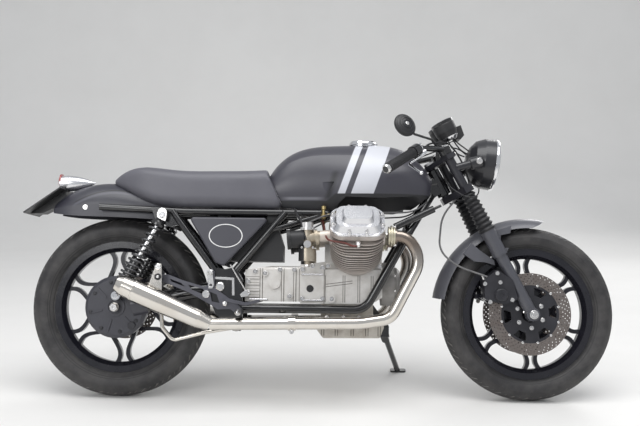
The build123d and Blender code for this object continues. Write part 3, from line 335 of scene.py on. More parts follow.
def exhaust_finish():
    """Stainless steel, tinted by heat up to the ports, with duller flanges there."""
    steel = finish("heat tinted stainless", (0.74, 0.71, 0.66), (0.58, 0.51, 0.43), 0.4, 12.0, 0.1, 0.22,
                   metallic=1.0)
    at = measured(steel)
    repaint(steel, band(steel, at["Z"], 440, 700, 120), (0.26, 0.215, 0.18), rough=0.26)
    flange = both(steel, band(steel, at["X"], 960, 999, 2), band(steel, at["Z"], 540, 650, 4))
    repaint(steel, flange, (0.60, 0.56, 0.44), rough=0.45)
    return steel


def carburettor_finish():
    """Brassy alloy, with a black air horn behind, an alloy stub ahead and a bright lid on top."""
    alloy = finish("brassy carburettor alloy", (0.46, 0.41, 0.33), (0.30, 0.24, 0.17), 0.6, 30.0, 0.35, 0.5,
                   metallic=0.8, bump=0.2)
    at = measured(alloy)
    repaint(alloy, band(alloy, at["X"], 500, 679, 1), (0.014, 0.014, 0.015), metallic=0.0, rough=0.45)
    repaint(alloy, band(alloy, at["X"], 733, 800, 2), (0.62, 0.56, 0.50), metallic=0.6, rough=0.5)
    repaint(alloy, band(alloy, at["Z"], 606, 700, 2), (0.62, 0.61, 0.60), rough=0.3)
    return alloy


def crankcase_finish():
    """Cast alloy with dark lines of painted shade and dirt beside its upright ribs and its rising one."""
    alloy = finish("ribbed crankcase alloy", (0.74, 0.72, 0.69), (0.50, 0.47, 0.43), 0.55, 24.0, 0.4, 0.58,
                   metallic=0.55, bump=0.4, depth=0.0006)
    at = measured(alloy)
    shade_and_dirt_lines(alloy, at["X"], (755, 819.5, 826.5, 873.5, 880.5, 921.5, 928.5), band(alloy, at["Z"], 352, 452, 3))
    rise = slanted(alloy, at["Z"], at["X"], 0, 0.137)
    shade_and_dirt_lines(alloy, rise, (305.5, 314.5), band(alloy, at["X"], 756, 855, 3))
    return alloy


def gearbox_finish():
    """Cast alloy with dark lines of painted shade and dirt at its joints and between its rear ribs."""
    alloy = finish("gear case alloy", (0.70, 0.68, 0.65), (0.46, 0.43, 0.39), 0.5, 26.0, 0.38, 0.56,
                   metallic=0.55, bump=0.4, depth=0.0006)
    at = measured(alloy)
    shade_and_dirt_lines(alloy, at["X"], (518, 527, 596, 605, 640, 649, 661, 751), band(alloy, at["Z"], 340, 476, 3))
    shade_and_dirt_lines(alloy, at["Z"], (368, 377, 390, 399, 412, 421, 434, 443), band(alloy, at["X"], 466, 517, 3), 1.2)
    return alloy


def sump_finish():
    """Oily cast alloy, with dark lines of painted shade and dirt beside its ribs."""
    alloy = finish("oily sump alloy", (0.50, 0.47, 0.42), (0.27, 0.23, 0.19), 0.65, 30.0, 0.42, 0.6,
                   metallic=0.5, bump=0.4, depth=0.0006)
    at = measured(alloy)
    shade_and_dirt_lines(alloy, at["X"], (743, 752, 793, 802, 850, 859, 903, 912, 948, 957),
          band(alloy, at["Z"], 232, 294, 3), colour=(0.07, 0.06, 0.05))
    return alloy


def tail_finish():
    """Body paint with a pressed arch along the fender, drawn in colour: a painted highlight along its edge and a
    line of painted shade for the crease above it.
    """
    paint = finish("fender paint with painted crease light", (0.030, 0.030, 0.040), (0.044, 0.043, 0.055), 0.5, 5.0, 0.34, 0.44,
                   coat=0.25, coat_rough=0.3)
    at = measured(paint)
    tree = paint.node_tree
    from_peak = reckon(tree, at["X"], 20, "ADD")
    arch = reckon(tree, reckon(tree, from_peak, from_peak), 0.0021, "MULTIPLY_ADD", at["Z"])
    length = band(paint, at["X"], -178, 130, 12)
    # Painted highlight along the arch's edge, then a line of painted shade for the crease above it
    repaint(paint, both(paint, band(paint, arch, 738, 752.5, 7), length), (0.075, 0.075, 0.092))
    repaint(paint, both(paint, band(paint, arch, 752, 756, 1), length), (0.006, 0.006, 0.007))
    return paint


def lamp_glass_finish():
    """Pale glass with upright flutes."""
    glass = finish("ribbed lamp glass", (0.62, 0.66, 0.68), (0.48, 0.52, 0.55), 0.4, 60.0, 0.06, 0.12,
                   metallic=0.5, coat=1.0, coat_rough=0.03)
    radians_per_mm = 0.75
    across = reckon(glass.node_tree, measured(glass)["Y"], radians_per_mm)
    flutes = reckon(glass.node_tree, across, 0.0, "SINE")
    emboss(glass, flutes, 0.6, 0.0012)
    return glass


blue_grey = finish("blue grey satin", (0.070, 0.071, 0.083), (0.046, 0.047, 0.056), 0.5, 8.0, 0.3, 0.4,
                   coat=0.25, coat_rough=0.25)
front_paint = finish("front fender satin", (0.098, 0.099, 0.113), (0.068, 0.069, 0.080), 0.5, 8.0, 0.3, 0.4,
                     coat=0.25, coat_rough=0.25)
# The front cover: the cast alloy darkened by painted shade
shaded_cover = finish("cover alloy with painted shade", (0.27, 0.26, 0.25), (0.12, 0.11, 0.10), 0.6, 20.0, 0.4, 0.58,
                      metallic=0.4, bump=0.35)
rest_grey = finish("dulled rearset plate", (0.105, 0.105, 0.122), (0.060, 0.060, 0.070), 0.5, 24.0, 0.32,
                   0.46, metallic=0.5, bump=0.2)
drive_black = finish("drive box enamel", (0.040, 0.040, 0.050), (0.026, 0.026, 0.033), 0.5, 10.0, 0.32, 0.46,
                     coat=0.2, bump=0.2)
wheel_enamel = finish("glossy wheel enamel", (0.010, 0.010, 0.014), (0.020, 0.019, 0.025), 0.5, 14.0, 0.16,
                      0.28, coat=0.25, bump=0.15, specular=0.35)
lamp_enamel = finish("lamp bucket enamel", (0.018, 0.018, 0.021), (0.028, 0.028, 0.032), 0.5, 9.0, 0.26, 0.36,
                     coat=0.2)
coil_enamel = finish("worn spring enamel", (0.050, 0.050, 0.054), (0.10, 0.10, 0.10), 0.5, 60.0, 0.18, 0.3,
                     metallic=0.5, coat=0.7)
tap_brass = finish("tarnished brass", (0.46, 0.36, 0.17), (0.24, 0.18, 0.09), 0.6, 50.0, 0.3, 0.45,
                   metallic=0.9, bump=0.15)
plug_rubber = finish("red brown lead", (0.13, 0.032, 0.024), (0.07, 0.02, 0.015), 0.5, 40.0, 0.35, 0.5)
red_lens = finish("red lens", (0.32, 0.010, 0.008), (0.20, 0.006, 0.005), 0.4, 60.0, 0.08, 0.16,
                  coat=0.8, coat_rough=0.04, bump=0.15)
dial_face = finish("dial face", (0.010, 0.010, 0.011), (0.016, 0.016, 0.017), 0.4, 30.0, 0.3, 0.4,
                   coat=1.0, coat_rough=0.03)
dial_white = finish("dial marks", (0.75, 0.75, 0.72), (0.66, 0.66, 0.63), 0.4, 30.0, 0.4, 0.5)
mirror_glass = finish("mirror glass", (0.86, 0.88, 0.90), (0.80, 0.82, 0.84), 0.3, 20.0, 0.02, 0.04,
                      metallic=1.0, bump=0.01)
panel_white = finish("white ring paint", (0.78, 0.78, 0.77), (0.66, 0.66, 0.65), 0.4, 30.0, 0.36, 0.46)
rod_steel = finish("bright rod steel", (0.76, 0.75, 0.74), (0.60, 0.58, 0.55), 0.4, 40.0, 0.16, 0.28,
                   metallic=1.0, bump=0.08)

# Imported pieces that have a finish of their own. The others have that of their slot.
OWN_FINISH = {
    "fuel_tank": tank_finish(),
    "exhaust_pipes": exhaust_finish(),
    "carburettors": carburettor_finish(),
    "crankcase": crankcase_finish(),
    "gearbox": gearbox_finish(),
    "sump": sump_finish(),
    "front_cover": shaded_cover,
    "tail_fender": tail_finish(),
    "front_fender": front_paint,
    "fork_sliders": blue_grey,
    "rearsets": rest_grey,
    "final_drive": drive_black,
    "front_wheel": wheel_enamel,
    "rear_wheel": wheel_enamel,
    "headlamp": lamp_enamel,
}
for row in frame["record"]["subparts"]:
    shown = frame["nodes"][row["node"]]
    shown.data.materials.clear()
    shown.data.materials.append(OWN_FINISH.get(row["node"], FINISHES[row["material_slot"]]))
    shown.data.shade_smooth()


# Ways of making pieces

def square_to(axis):
    """Two unit vectors square to an axis."""
    across = axis.orthogonal().normalized()
    return across, axis.cross(across).normalized()


def turned(form, profile, at, axis, steps):
    """Adds a turned solid to a bmesh. profile lists (radius, distance along the axis) in millimetres."""
    axis = way(*axis)
    across, beside = square_to(axis)
    at = place(*at)
    rings = []
    for radius, along in profile:
        middle = at + axis * (along / 1000)
        if radius == 0:
            rings.append([form.verts.new(middle)])
            continue
        ring = []
        for step in range(steps):
            angle = 2 * math.pi * step / steps
            out = across * math.cos(angle) + beside * math.sin(angle)
            ring.append(form.verts.new(middle + out * (radius / 1000)))
        rings.append(ring)
    for low, high in zip(rings, rings[1:]):
        for step in range(steps):
            after = (step + 1) % steps
            if len(low) == 1:
                form.faces.new((low[0], high[after], high[step]))
            elif len(high) == 1:
                form.faces.new((low[step], low[after], high[0]))
            else:
                form.faces.new((low[step], low[after], high[after], high[step]))
    for ring, turn in ((rings[0], -1), (rings[-1], 1)):
        if len(ring) > 1:
            form.faces.new(ring[::turn])


def hex_bolt(form, at, axis, across, height):
    """Adds a hexagon head with its washer to a bmesh, sizes in millimetres."""
    half = across / 2 / math.cos(math.pi / 6)
    turned(form, ((half + 2.2, 0), (half + 2.2, 1.2), (half + 1.6, 1.6)), at, axis, 20)
    turned(form, ((half, 1.2), (half, height - 1), (half - 1.2, height)), at, axis, 6)


def cap_screw(form, at, axis, radius, height):
    """Adds a socket head screw on its seat to a bmesh, sizes in millimetres."""
    turned(form, ((radius, 0), (radius, height - 1), (radius - 1, height), (radius * 0.5, height),
                  (radius * 0.5, height - 3), (0, height - 3)), at, axis, 16)


def mount(piece, body):
    """Puts a piece into the scene, on the body it moves with."""
    scene.collection.objects.link(piece)
    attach(piece, body)
    return piece


def settle(name, form, body, slot, looks=None, sharp=32):
    """Turns a bmesh into a piece of the machine, in its slot's finish or another."""
    bmesh.ops.recalc_face_normals(form, faces=form.faces)
    mesh = bpy.data.meshes.new(name)
    form.to_mesh(mesh)
    form.free()
    mesh.materials.append(looks or FINISHES[slot])
    mesh.shade_smooth()
    mesh.set_sharp_from_angle(angle=math.radians(sharp))
    return mount(bpy.data.objects.new(name, mesh), body)


def turned_piece(name, profile, at, axis, steps, body, slot, looks=None):
    """A piece that is one turned solid."""
    form = bmesh.new()
    turned(form, profile, at, axis, steps)
    return settle(name, form, body, slot, looks)


def turned_pair(name, parts, body, slot, looks=None):
    """A piece of turned solids on both sides. parts lists (profile, place on the left, axis, corners)."""
    form = bmesh.new()
    for _, outward in SIDES:
        for profile, (x, y, z), (i, j, k), steps in parts:
            turned(form, profile, (x, outward * y, z), (i, outward * j, k), steps)
    return settle(name, form, body, slot, looks)


def wire(name, points, radius, body, slot, looks=None):
    """A round wire or tube on a smooth curve through its control points, sizes in millimetres."""
    data = bpy.data.curves.new(name, "CURVE")
    data.dimensions = "3D"
    data.bevel_depth = radius / 1000
    data.bevel_resolution = 4
    data.use_fill_caps = True
    spline = data.splines.new("NURBS")
    spline.points.add(len(points) - 1)
    for point, at in zip(spline.points, points):
        point.co = (*place(*at), 1.0)
    spline.order_u = 3
    spline.use_endpoint_u = True
    spline.resolution_u = 8
    data.materials.append(looks or FINISHES[slot])
    return mount(bpy.data.objects.new(name, data), body)


def around(x, z, radius, turn, squash=1.0):
    """The point at an angle on a circle or oval in side view."""
    return (x + radius * math.cos(turn), z + squash * radius * math.sin(turn))


def circle(x, z, radius, steps, squash=1.0):
    """The corners of a circle or oval in side view."""
    return [around(x, z, radius, 2 * math.pi * step / steps, squash) for step in range(steps)]


def sheet_metal(name, outlines, y_from, y_to, body, slot, looks=None, bevel=0.5):
    """A flat piece in side view between two distances from the middle. Inner outlines become holes."""
    data = bpy.data.curves.new(name, "CURVE")
    data.dimensions = "2D"
    data.fill_mode = "BOTH"
    thick = abs(y_to - y_from) / 1000
    data.bevel_depth = min(bevel / 1000, thick * 0.4)
    data.bevel_resolution = 1
    data.extrude = thick / 2 - data.bevel_depth
    data.offset = -data.bevel_depth
    for outline in outlines:
        spline = data.splines.new("POLY")
        spline.points.add(len(outline) - 1)
        for point, (x, z) in zip(spline.points, outline):
            point.co = (x / 1000, z / 1000, 0.0, 1.0)
        spline.use_cyclic_u = True
    data.materials.append(looks or FINISHES[slot])
    piece = bpy.data.objects.new(name, data)
    lay = Matrix((way(1, 0, 0), way(0, 0, 1), way(0, -1, 0))).transposed()
    piece.matrix_world = Matrix.Translation(place(0, (y_from + y_to) / 2, 0)) @ lay.to_4x4()
    return mount(piece, body)


# Tyres: a crowned carcass with chevron blocks, a groove on each side of the middle and rings on the walls

RIM_RADIUS = 228.6
BEAD_RADIUS = RIM_RADIUS + 11.4
BEAD_Y = 30
CROWN_RADIUS = 52
SHOULDER_ANGLE = 46
WALL_STEPS = 12
TREAD_DEPTH = 6.0
TREAD_PITCHES = 38
# How many pitches the grooves lag between the middle and a shoulder
CHEVRON_LAG = 0.9
# Columns: place within one pitch, share of the groove's depth
TREAD_COLUMNS = ((0.0, 0), (0.03, 1), (0.2, 1), (0.23, 0), (0.5, 0), (0.53, 0.6), (0.6, 0.6), (0.63, 0))
# The crown's corners, in degrees from its middle
CROWN_ANGLES = (SHOULDER_ANGLE, 43, 42.4, 38, 33, 28, 23, 19, 18.4, 14, 10.6, 10.2, 7.2, 6.8, 3, 0)


def grooved_rubber(name, centre, radius):
    """Dusty tyre rubber, with two moulding lines round its sidewalls, painted paler in its crown's grooves."""
    made = finish(name, (0.021, 0.020, 0.021), (0.082, 0.078, 0.076), 0.75, 15.0, 0.5, 0.7, bump=0.3)
    tree = made.node_tree
    at = measured(made)
    forward = reckon(tree, at["X"], centre[0], "SUBTRACT")
    up = reckon(tree, at["Z"], centre[1], "SUBTRACT")
    squares = reckon(tree, reckon(tree, forward, forward), reckon(tree, up, up), "ADD")
    reach = reckon(tree, squares, 0.5, "POWER")
    chord = reckon(tree, CROWN_RADIUS ** 2, reckon(tree, at["Y"], at["Y"]), "SUBTRACT")
    crown_reach = reckon(tree, reckon(tree, chord, 0.5, "POWER"), radius - CROWN_RADIUS, "ADD")
    depth = reckon(tree, crown_reach, reach, "SUBTRACT")
    for line in (radius - 71, radius - 64):
        repaint(made, band(made, reach, line - 1.2, line + 1.2, 0.8), (0.008, 0.008, 0.008))
    crown = band(made, at["Y"], -38.5, 38.5, 0.5)
    repaint(made, both(made, band(made, depth, 0.8, 2 * TREAD_DEPTH, 2.5), crown), (0.20, 0.19, 0.18))
    return made


def tyre_section(radius, widest):
    """The corners of a tyre's section, each (y, radius, grooved, ringed). Blocks' grooves cut the grooved
    ones and a groove all round the ringed ones. widest is the half width midway up the wall."""
    shoulder_turn = math.radians(SHOULDER_ANGLE)
    shoulder = (CROWN_RADIUS * math.sin(shoulder_turn), radius - CROWN_RADIUS * (1 - math.cos(shoulder_turn)))
    middle = (widest, RIM_RADIUS + (radius - RIM_RADIUS) * 0.5)
    pull = (2 * middle[0] - (BEAD_Y + shoulder[0]) / 2, 2 * middle[1] - (BEAD_RADIUS + shoulder[1]) / 2)
    corners = [(BEAD_Y, BEAD_RADIUS, 0, 0), (31.5, BEAD_RADIUS + 7, 0, 0)]
    for step in range(1, WALL_STEPS):
        share = step / WALL_STEPS
        ends = (1 - share) ** 2, 2 * share * (1 - share), share ** 2
        y = ends[0] * BEAD_Y + ends[1] * pull[0] + ends[2] * shoulder[0]
        r = ends[0] * BEAD_RADIUS + ends[1] * pull[1] + ends[2] * shoulder[1]
        ridge = 0.9 if step in (3, 8) else 0.0
        corners.append((y + ridge, r, 0, 0))
    for angle in CROWN_ANGLES:
        turn = math.radians(angle)
        corners.append((CROWN_RADIUS * math.sin(turn), radius - CROWN_RADIUS * (1 - math.cos(turn)),
                        int(18.7 < angle < 42.7), int(7 < angle < 10.4)))
    corners += [(-y, *rest) for y, *rest in reversed(corners[:-1])]
    return corners + [(-21, BEAD_RADIUS - 2, 0, 0), (21, BEAD_RADIUS - 2, 0, 0)], shoulder


def grooved_tyre(name, centre, radius, widest, body, replaced):
    """A tyre with its tread, in place of a packed plain one."""
    corners, (shoulder_y, wall) = tyre_section(radius, widest)
    form = bmesh.new()
    rows = []
    for pitch in range(TREAD_PITCHES):
        for share, depth in TREAD_COLUMNS:
            row = []
            for y, r, grooved, ringed in corners:
                lean_back = abs(y) / shoulder_y if r > wall - 1 else 1.0
                stagger = 0.5 if y < 0 else 0.0
                turn = 2 * math.pi * (pitch + share + CHEVRON_LAG * lean_back + stagger) / TREAD_PITCHES
                x, z = around(*centre, r - TREAD_DEPTH * max(depth * grooved, ringed), turn)
                row.append(form.verts.new(place(x, y, z)))
            rows.append(row)
    for row, after in zip(rows, rows[1:] + rows[:1]):
        for corner in range(len(corners)):
            beside = (corner + 1) % len(corners)
            form.faces.new((row[corner], row[beside], after[beside], after[corner]))
    piece = settle(name, form, body, "tyre_rubber", grooved_rubber(name + " rubber", centre, radius), 28)
    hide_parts(replaced)


grooved_tyre("front_tread", (WHEELBASE, FRONT_RADIUS), FRONT_RADIUS, 50, "front_wheel_body", "front_tyre")
grooved_tyre("rear_tread", (0, REAR_RADIUS), REAR_RADIUS, 55, "rear_wheel_body", "rear_tyre")

# Brake discs: drilled rings on black carriers, with bolts, rivets, a boss and a neck to the hub

# Rows of holes: radius, how many holes it lags behind the first row
FRONT_DRILLING = ((112.5, 0.0), (121, 0.6), (129.5, 1.2), (138, 1.8), (145.5, 2.4))
REAR_DRILLING = ((90, 0.0), (98, 0.4), (106, 0.8), (114, 1.2))
HOLE_RADIUS = 2.3
HUB_RADIUS = 44
BOLT_CIRCLE = 50
NECK_TO = 42


def kidney(x, z, inner, outer, from_deg, to_deg):
    """A rounded window between two radii about a wheel's centre."""
    steps = 6
    arc = [from_deg + (to_deg - from_deg) * step / steps for step in range(steps + 1)]
    near_arc = (to_deg - 4, (from_deg + to_deg) / 2, from_deg + 4)
    return ([around(x, z, outer, math.radians(angle)) for angle in arc]
            + [around(x, z, inner, math.radians(angle)) for angle in near_arc])


def drilled_disc(name, centre, radius, inner, drilling, holes, y, neck_to, body):
    """A brake disc's pieces. y is how far its middle lies to the left of the wheel's, and its neck's end."""
    x, z = centre
    outward = 1 if y > 0 else -1
    outlines = [circle(x, z, radius, 96), circle(x, z, inner, 72)]
    for row_radius, lag in drilling:
        for hole in range(holes):
            at = around(x, z, row_radius, 2 * math.pi * (hole + lag) / holes)
            outlines.append(circle(*at, HOLE_RADIUS, 8))
    ring = sheet_metal(name + "_ring", outlines, y + 3, y - 3, body, "disc_steel", bevel=0.3)
    windows = [kidney(x, z, HUB_RADIUS + (inner - HUB_RADIUS) * 0.42, inner - 9, turn - 9, turn + 21)
               for turn in range(0, 360, 60)]
    carrier = sheet_metal(name + "_carrier", [circle(x, z, inner + 5, 72), circle(x, z, 30, 32)] + windows,
                          y + 2.4, y - 2.4, body, "disc_steel", FINISHES["cast_black"])
    fixings = bmesh.new()
    for bolt in range(6):
        bolt_x, bolt_z = around(x, z, BOLT_CIRCLE, math.radians(60 * bolt + 36))
        hex_bolt(fixings, (bolt_x, y + outward * 3, bolt_z), (0, outward, 0), 10, 6)
    for rivet in range(12):
        rivet_x, rivet_z = around(x, z, inner + 1, math.radians(30 * rivet + 15))
        turned(fixings, ((4.5, 0), (4.5, 1.6), (3.4, 2.2), (0, 2.2)), (rivet_x, y + outward * 2.4, rivet_z),
               (0, outward, 0), 14)
    bolts = settle(name + "_fixings", fixings, body, "stainless", rod_steel)
    bore = circle(x, z, 32, 32)
    neck = sheet_metal(name + "_neck", [circle(x, z, 42, 48), bore], y, neck_to, body, "cast_black")
    boss = sheet_metal(name + "_boss", [circle(x, z, 56, 48), bore], y + 3, y - 3, body, "cast_black")
    return ring, carrier, bolts, neck, boss


for side, outward in SIDES:
    for piece in drilled_disc(f"front_disc_{side}", (WHEELBASE, FRONT_RADIUS), 150, 106, FRONT_DRILLING, 48,
                              outward * 62, outward * NECK_TO, "front_wheel_body"):
        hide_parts("front_discs")
for piece in drilled_disc("rear_disc_left", (0, REAR_RADIUS), 121, 82, REAR_DRILLING, 30, 64, NECK_TO,
                          "rear_wheel_body"):
    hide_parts("rear_disc")


def leather_seat():
    """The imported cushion's form, remeshed, rounded, crowned and gathered along its lower edge."""
    source = frame["nodes"]["seat"]
    work = bpy.data.objects.new("seat_work", source.data.copy())
    scene.collection.objects.link(work)
    remesh = work.modifiers.new("even mesh", "REMESH")
    remesh.mode = "VOXEL"
    remesh.voxel_size = 0.006
    soften = work.modifiers.new("soft edges", "SMOOTH")
    soften.factor = 0.5
    soften.iterations = 9
    bpy.context.view_layer.update()
    mesh = bpy.data.meshes.new_from_object(work.evaluated_get(bpy.context.evaluated_depsgraph_get()))
    bpy.data.objects.remove(work)
    half_width, rear_end, front_end, crowned_above, seam_level = 118, -40, 560, 780, 700
    for vertex in mesh.vertices:
        x, y, z = LEANED.transposed() @ (vertex.co - place(0, 0, 0)) * 1000
        ends = min(1.0, max(0.0, (x - rear_end) / 120)) * min(1.0, max(0.0, (front_end - x) / 90))
        crown = 3.5 * max(0.0, 1 - (y / half_width) ** 2) * ends if z > crowned_above else 0.0
        skirt = max(0.0, 1 - abs(z - seam_level) / 26) if abs(y) > 70 else 0.0
        ripple = math.sin(x * 0.21 + 2.2 * math.sin(x * 0.037)) * math.sin(x * 0.083 + 0.6)
        gather = math.copysign(1.0, y) * skirt * (0.9 * ripple - 1.6) * ends
        vertex.co += LEANED @ (Vector((0, gather, crown)) / 1000)
    mesh.materials.clear()
    mesh.materials.append(FINISHES["seat_leather"])
    mesh.shade_smooth()
    piece = bpy.data.objects.new("seat_cover", mesh)
    scene.collection.objects.link(piece)
    round_off = piece.modifiers.new("fine surface", "SUBSURF")
    round_off.levels = 1
    round_off.render_levels = round_off.levels
    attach(piece, "chassis")
    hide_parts("seat")


leather_seat()

# Cylinders: screws round the rocker covers, and the lower spark plugs with their leads

COVER_FLANGE = 323
COVER_SCREWS = ((-30, 69), (30, 69), (-30, -69), (30, -69), (-87, 28), (-87, -28), (87, 28), (87, -28))
cover_screws = bmesh.new()
cover_bosses = bmesh.new()
for _, outward in SIDES:
    out = Vector(bank(0, 0, 1, outward)) - Vector(bank(0, 0, 0, outward))
    for u, v in COVER_SCREWS:
        turned(cover_bosses, ((8, -4), (8, 7), (7, 9)), bank(u, v, COVER_FLANGE, outward), out, 18)
        cap_screw(cover_screws, bank(u, v, COVER_FLANGE + 9, outward), out, 5.5, 6)
settle("cover_bosses", cover_bosses, "chassis", "polished_alloy")
settle("cover_screws", cover_screws, "chassis", "stainless", rod_steel)

LEAD_ROUTE = ((0, 104, 303), (-12, 109, 303), (-28, 96, 297), (-46, 78, 293), (-84, 73, 293), (-112, 56, 288))
for side, outward in SIDES:
    start = Vector(bank(0, outward * 72, 292, outward))
    end = Vector(bank(0, outward * 108, 304, outward))
    turned_piece(f"plug_cap_{side}", ((9, 0), (9, 14), (11, 16), (11, 26), (8, 34), (5, 38)), start,
                 end - start, 24, "chassis", "stainless", rod_steel)
    route = [bank(u, outward * v, w, outward) for u, v, w in LEAD_ROUTE]
    wire(f"plug_lead_{side}", route + [(748, outward * 112, 640), (738, outward * 60, 662)], 3.6, "chassis",
         "hose_rubber", plug_rubber)

# Engine cases: bolts, a round plug and studs on each side, and the front cover's ring of screws

GEARBOX_BOLTS = ((672, 107, 472), (672, 107, 366), (745, 107, 478), (745, 107, 366), (708, 107, 484),
                 (500, 95, 462), (536, 99, 456), (626, 99, 374), (474, 95, 382), (474, 95, 426),
                 (590, 95, 470), (642, 95, 470), (779, 105, 366))
# Columns: rear end on the left, length
CASE_STUDS = (((668, 110, 453), 80), ((668, 110, 360), 80), ((479, 98, 361), 68))
case_bolts = bmesh.new()
for _, outward in SIDES:
    out = (0, outward, 0)
    for x, y, z in GEARBOX_BOLTS:
        hex_bolt(case_bolts, (x, outward * y, z), out, 11, 7)
    for x in (762, 822, 879, 940):
        hex_bolt(case_bolts, (x, outward * 90, 300), out, 9, 6)
    for x in (952, 764):
        hex_bolt(case_bolts, (x, outward * 96, 485), out, 10, 6)
for screw in range(8):
    y, z = around(0, 422, 71, math.radians(45 * screw + 20))
    cap_screw(case_bolts, (1008, y, z), FRONT, 4.5, 6)
settle("case_bolts", case_bolts, "chassis", "stainless", rod_steel)
turned_pair("case_plugs", [(((13, 0), (13, 4), (11, 6), (6, 6), (6, 4.5), (0, 4.5)), (700, 100, 402), LEFT,
                            24)], "chassis", "gaiter_rubber")
turned_pair("case_studs", [(((2, 0), (3.6, 2), (3.6, length - 2), (2, length)), at, FRONT, 16)
                           for at, length in CASE_STUDS], "chassis", "polished_alloy")

# Carburettors: their screws, float bowl nut and throttle shaft, the fuel pipes, and the taps under the tank

CARB_X = 690
trim = bmesh.new()
for _, outward in SIDES:
    out = (0, outward, 0)
    for dx, z in ((-24, 545), (24, 545), (-22, 612), (22, 612)):
        cap_screw(trim, (CARB_X + dx * 0.8, outward * 226, z), out, 4, 5)
    turned(trim, ((10, 0), (10, 6), (8, 8)), (CARB_X, outward * 200, 486), (0, 0, -1), 6)
    turned(trim, ((13, 0), (13, 3), (6, 3), (6, 8)), (CARB_X, outward * 240, 556), out, 24)
settle("carburettor_trim", trim, "chassis", "stainless", rod_steel)
PIPE_ROUTE = ((640, 96, 690), (650, 150, 664), (668, 196, 640), (676, 214, 600), (684, 221, 572))
for side, outward in SIDES:
    wire(f"fuel_pipe_{side}", [(x, outward * y, z) for x, y, z in PIPE_ROUTE], 4.5, "chassis",
         "gaiter_rubber")
turned_pair("fuel_taps", (
    (((4, 0), (4, 34)), (746, 126, 694), (0, -1, 0), 14),
    (((9, 0), (9, 12), (6, 14), (6, 28), (9, 30), (9, 44), (5, 48)), (746, 126, 700), (0, 0, -1), 20),
    (((7, -12), (7, 14), (5, 16)), (746, 130, 660), LEFT, 18),
    (((3.4, 0), (3.4, 20), (2.4, 22)), (746, 144, 662), (0.9, 0, 0.3), 10),
), "chassis", "polished_alloy", tap_brass)

# Exhausts: bolts at the ports and clamps, the hangers' nuts, pins and grommets, and the mufflers' rolled ends

HANGER_X = 164
HANGER_Y = 192
HANGER_HOLE_Z = 437
muffler_way = Vector((-326, 18, 140)).normalized()
muffler_end = Vector((352, 200, 274)) + muffler_way * 291.2
clamps = bmesh.new()
for _, outward in SIDES:
    out = (0, outward, 0)
    for z in (560, 620):
        hex_bolt(clamps, (994, outward * 200, z), FRONT, 11, 9)
    turned(clamps, ((4, 0), (4, 34), (3, 36)), (639, outward * 214, 251), (0, -outward, 0), 12)
    hex_bolt(clamps, (639, outward * 216, 251), out, 10, 7)
    turned(clamps, ((12, -1), (12, 3), (9, 5)), (HANGER_X, outward * HANGER_Y, 472), out, 6)
    turned(clamps, ((5, 0), (5, 8), (4, 9)), (HANGER_X, outward * HANGER_Y, HANGER_HOLE_Z), out, 16)
settle("exhaust_fixings", clamps, "chassis", "stainless", rod_steel)
turned_pair("hanger_grommets", [(((12, 0), (12, 3), (10, 5), (7, 5)), (HANGER_X, HANGER_Y, HANGER_HOLE_Z),
                                 LEFT, 24)], "chassis", "gaiter_rubber")
turned_pair("muffler_bands", [(((39.4, -3), (41.2, -1.5), (41.2, 2.5), (38.4, 4)), muffler_end, muffler_way,
                               48)], "chassis", "stainless")

# Shock absorbers: eyes, shaft, body, seats and a wound spring, and the plates at their tops

SHOCK_TOP = (168, 142, 658)
SHOCK_LOW = (8, 142, 368)
SPRING_SEATS = (44, 286)
SPRING_TURNS = 13
TURN_STEPS = 16
for side, outward in SIDES:
    out = (0, outward, 0)
    low, top = (Vector((x, outward * y, z)) for x, y, z in (SHOCK_LOW, SHOCK_TOP))
    run = (top - low).normalized()
    case = bmesh.new()
    turned(case, ((12, 8), (12, 20), (27, 24), (27, 40), (21, 44), (21, 150), (18, 154), (10, 156)), low, run,
           40)
    turned(case, ((22, 286), (27, 290), (27, 298), (20, 304), (12, 316), (12, 322)), low, run, 40)
    shaft = bmesh.new()
    turned(shaft, ((9, 150), (9, 300)), low, run, 28)
    for eye in (top, low):
        turned(case, ((18, -13), (18, 13)), eye, LEFT, 32)
        turned(shaft, ((11, 0), (11, 6), (9, 8), (5, 8), (5, 4), (0, 4)), eye + Vector((0, outward * 13, 0)),
               out, 24)
        turned(shaft, ((16, 11), (16, 14)), eye, out, 28)
    turned(shaft, ((8, -22), (8, 14)), top, (0, -outward, 0), 20)
    across, beside = square_to(run)
    coils = []
    for step in range(SPRING_TURNS * TURN_STEPS + 1):
        angle = 2 * math.pi * step / TURN_STEPS
        share = step / (SPRING_TURNS * TURN_STEPS)
        rise = SPRING_SEATS[0] + (SPRING_SEATS[1] - SPRING_SEATS[0]) * (0.6 * share + 0.4 * share ** 2)
        reach = 29.5 - 7 * min(1.0, max(0.0, (share - 0.45) / 0.2))
        coils.append(low + run * rise + (across * math.cos(angle) + beside * math.sin(angle)) * reach)
    pieces = (settle(f"shock_body_{side}", case, "chassis", "frame_black"),
              settle(f"shock_shaft_{side}", shaft, "chassis", "chrome"),
              wire(f"shock_spring_{side}", coils, 4.4, "chassis", "frame_black", coil_enamel))
    for piece in pieces:
        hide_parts("shock_absorbers")

SHOCK_PLATE = [(150, 650), (149, 664), (154, 678), (164, 685), (176, 683), (184, 673), (184, 656), (180, 636),
               (168, 640)]
for side, outward in SIDES:
    sheet_metal(f"shock_plate_{side}", [SHOCK_PLATE, circle(168, 660, 9, 16)], outward * 157.4, outward * 160,
                "chassis", "stainless", rod_steel)

# Rearsets: nuts, pivots and peg ends, ribbed pegs, brackets, bell cranks, brake rods and pedals

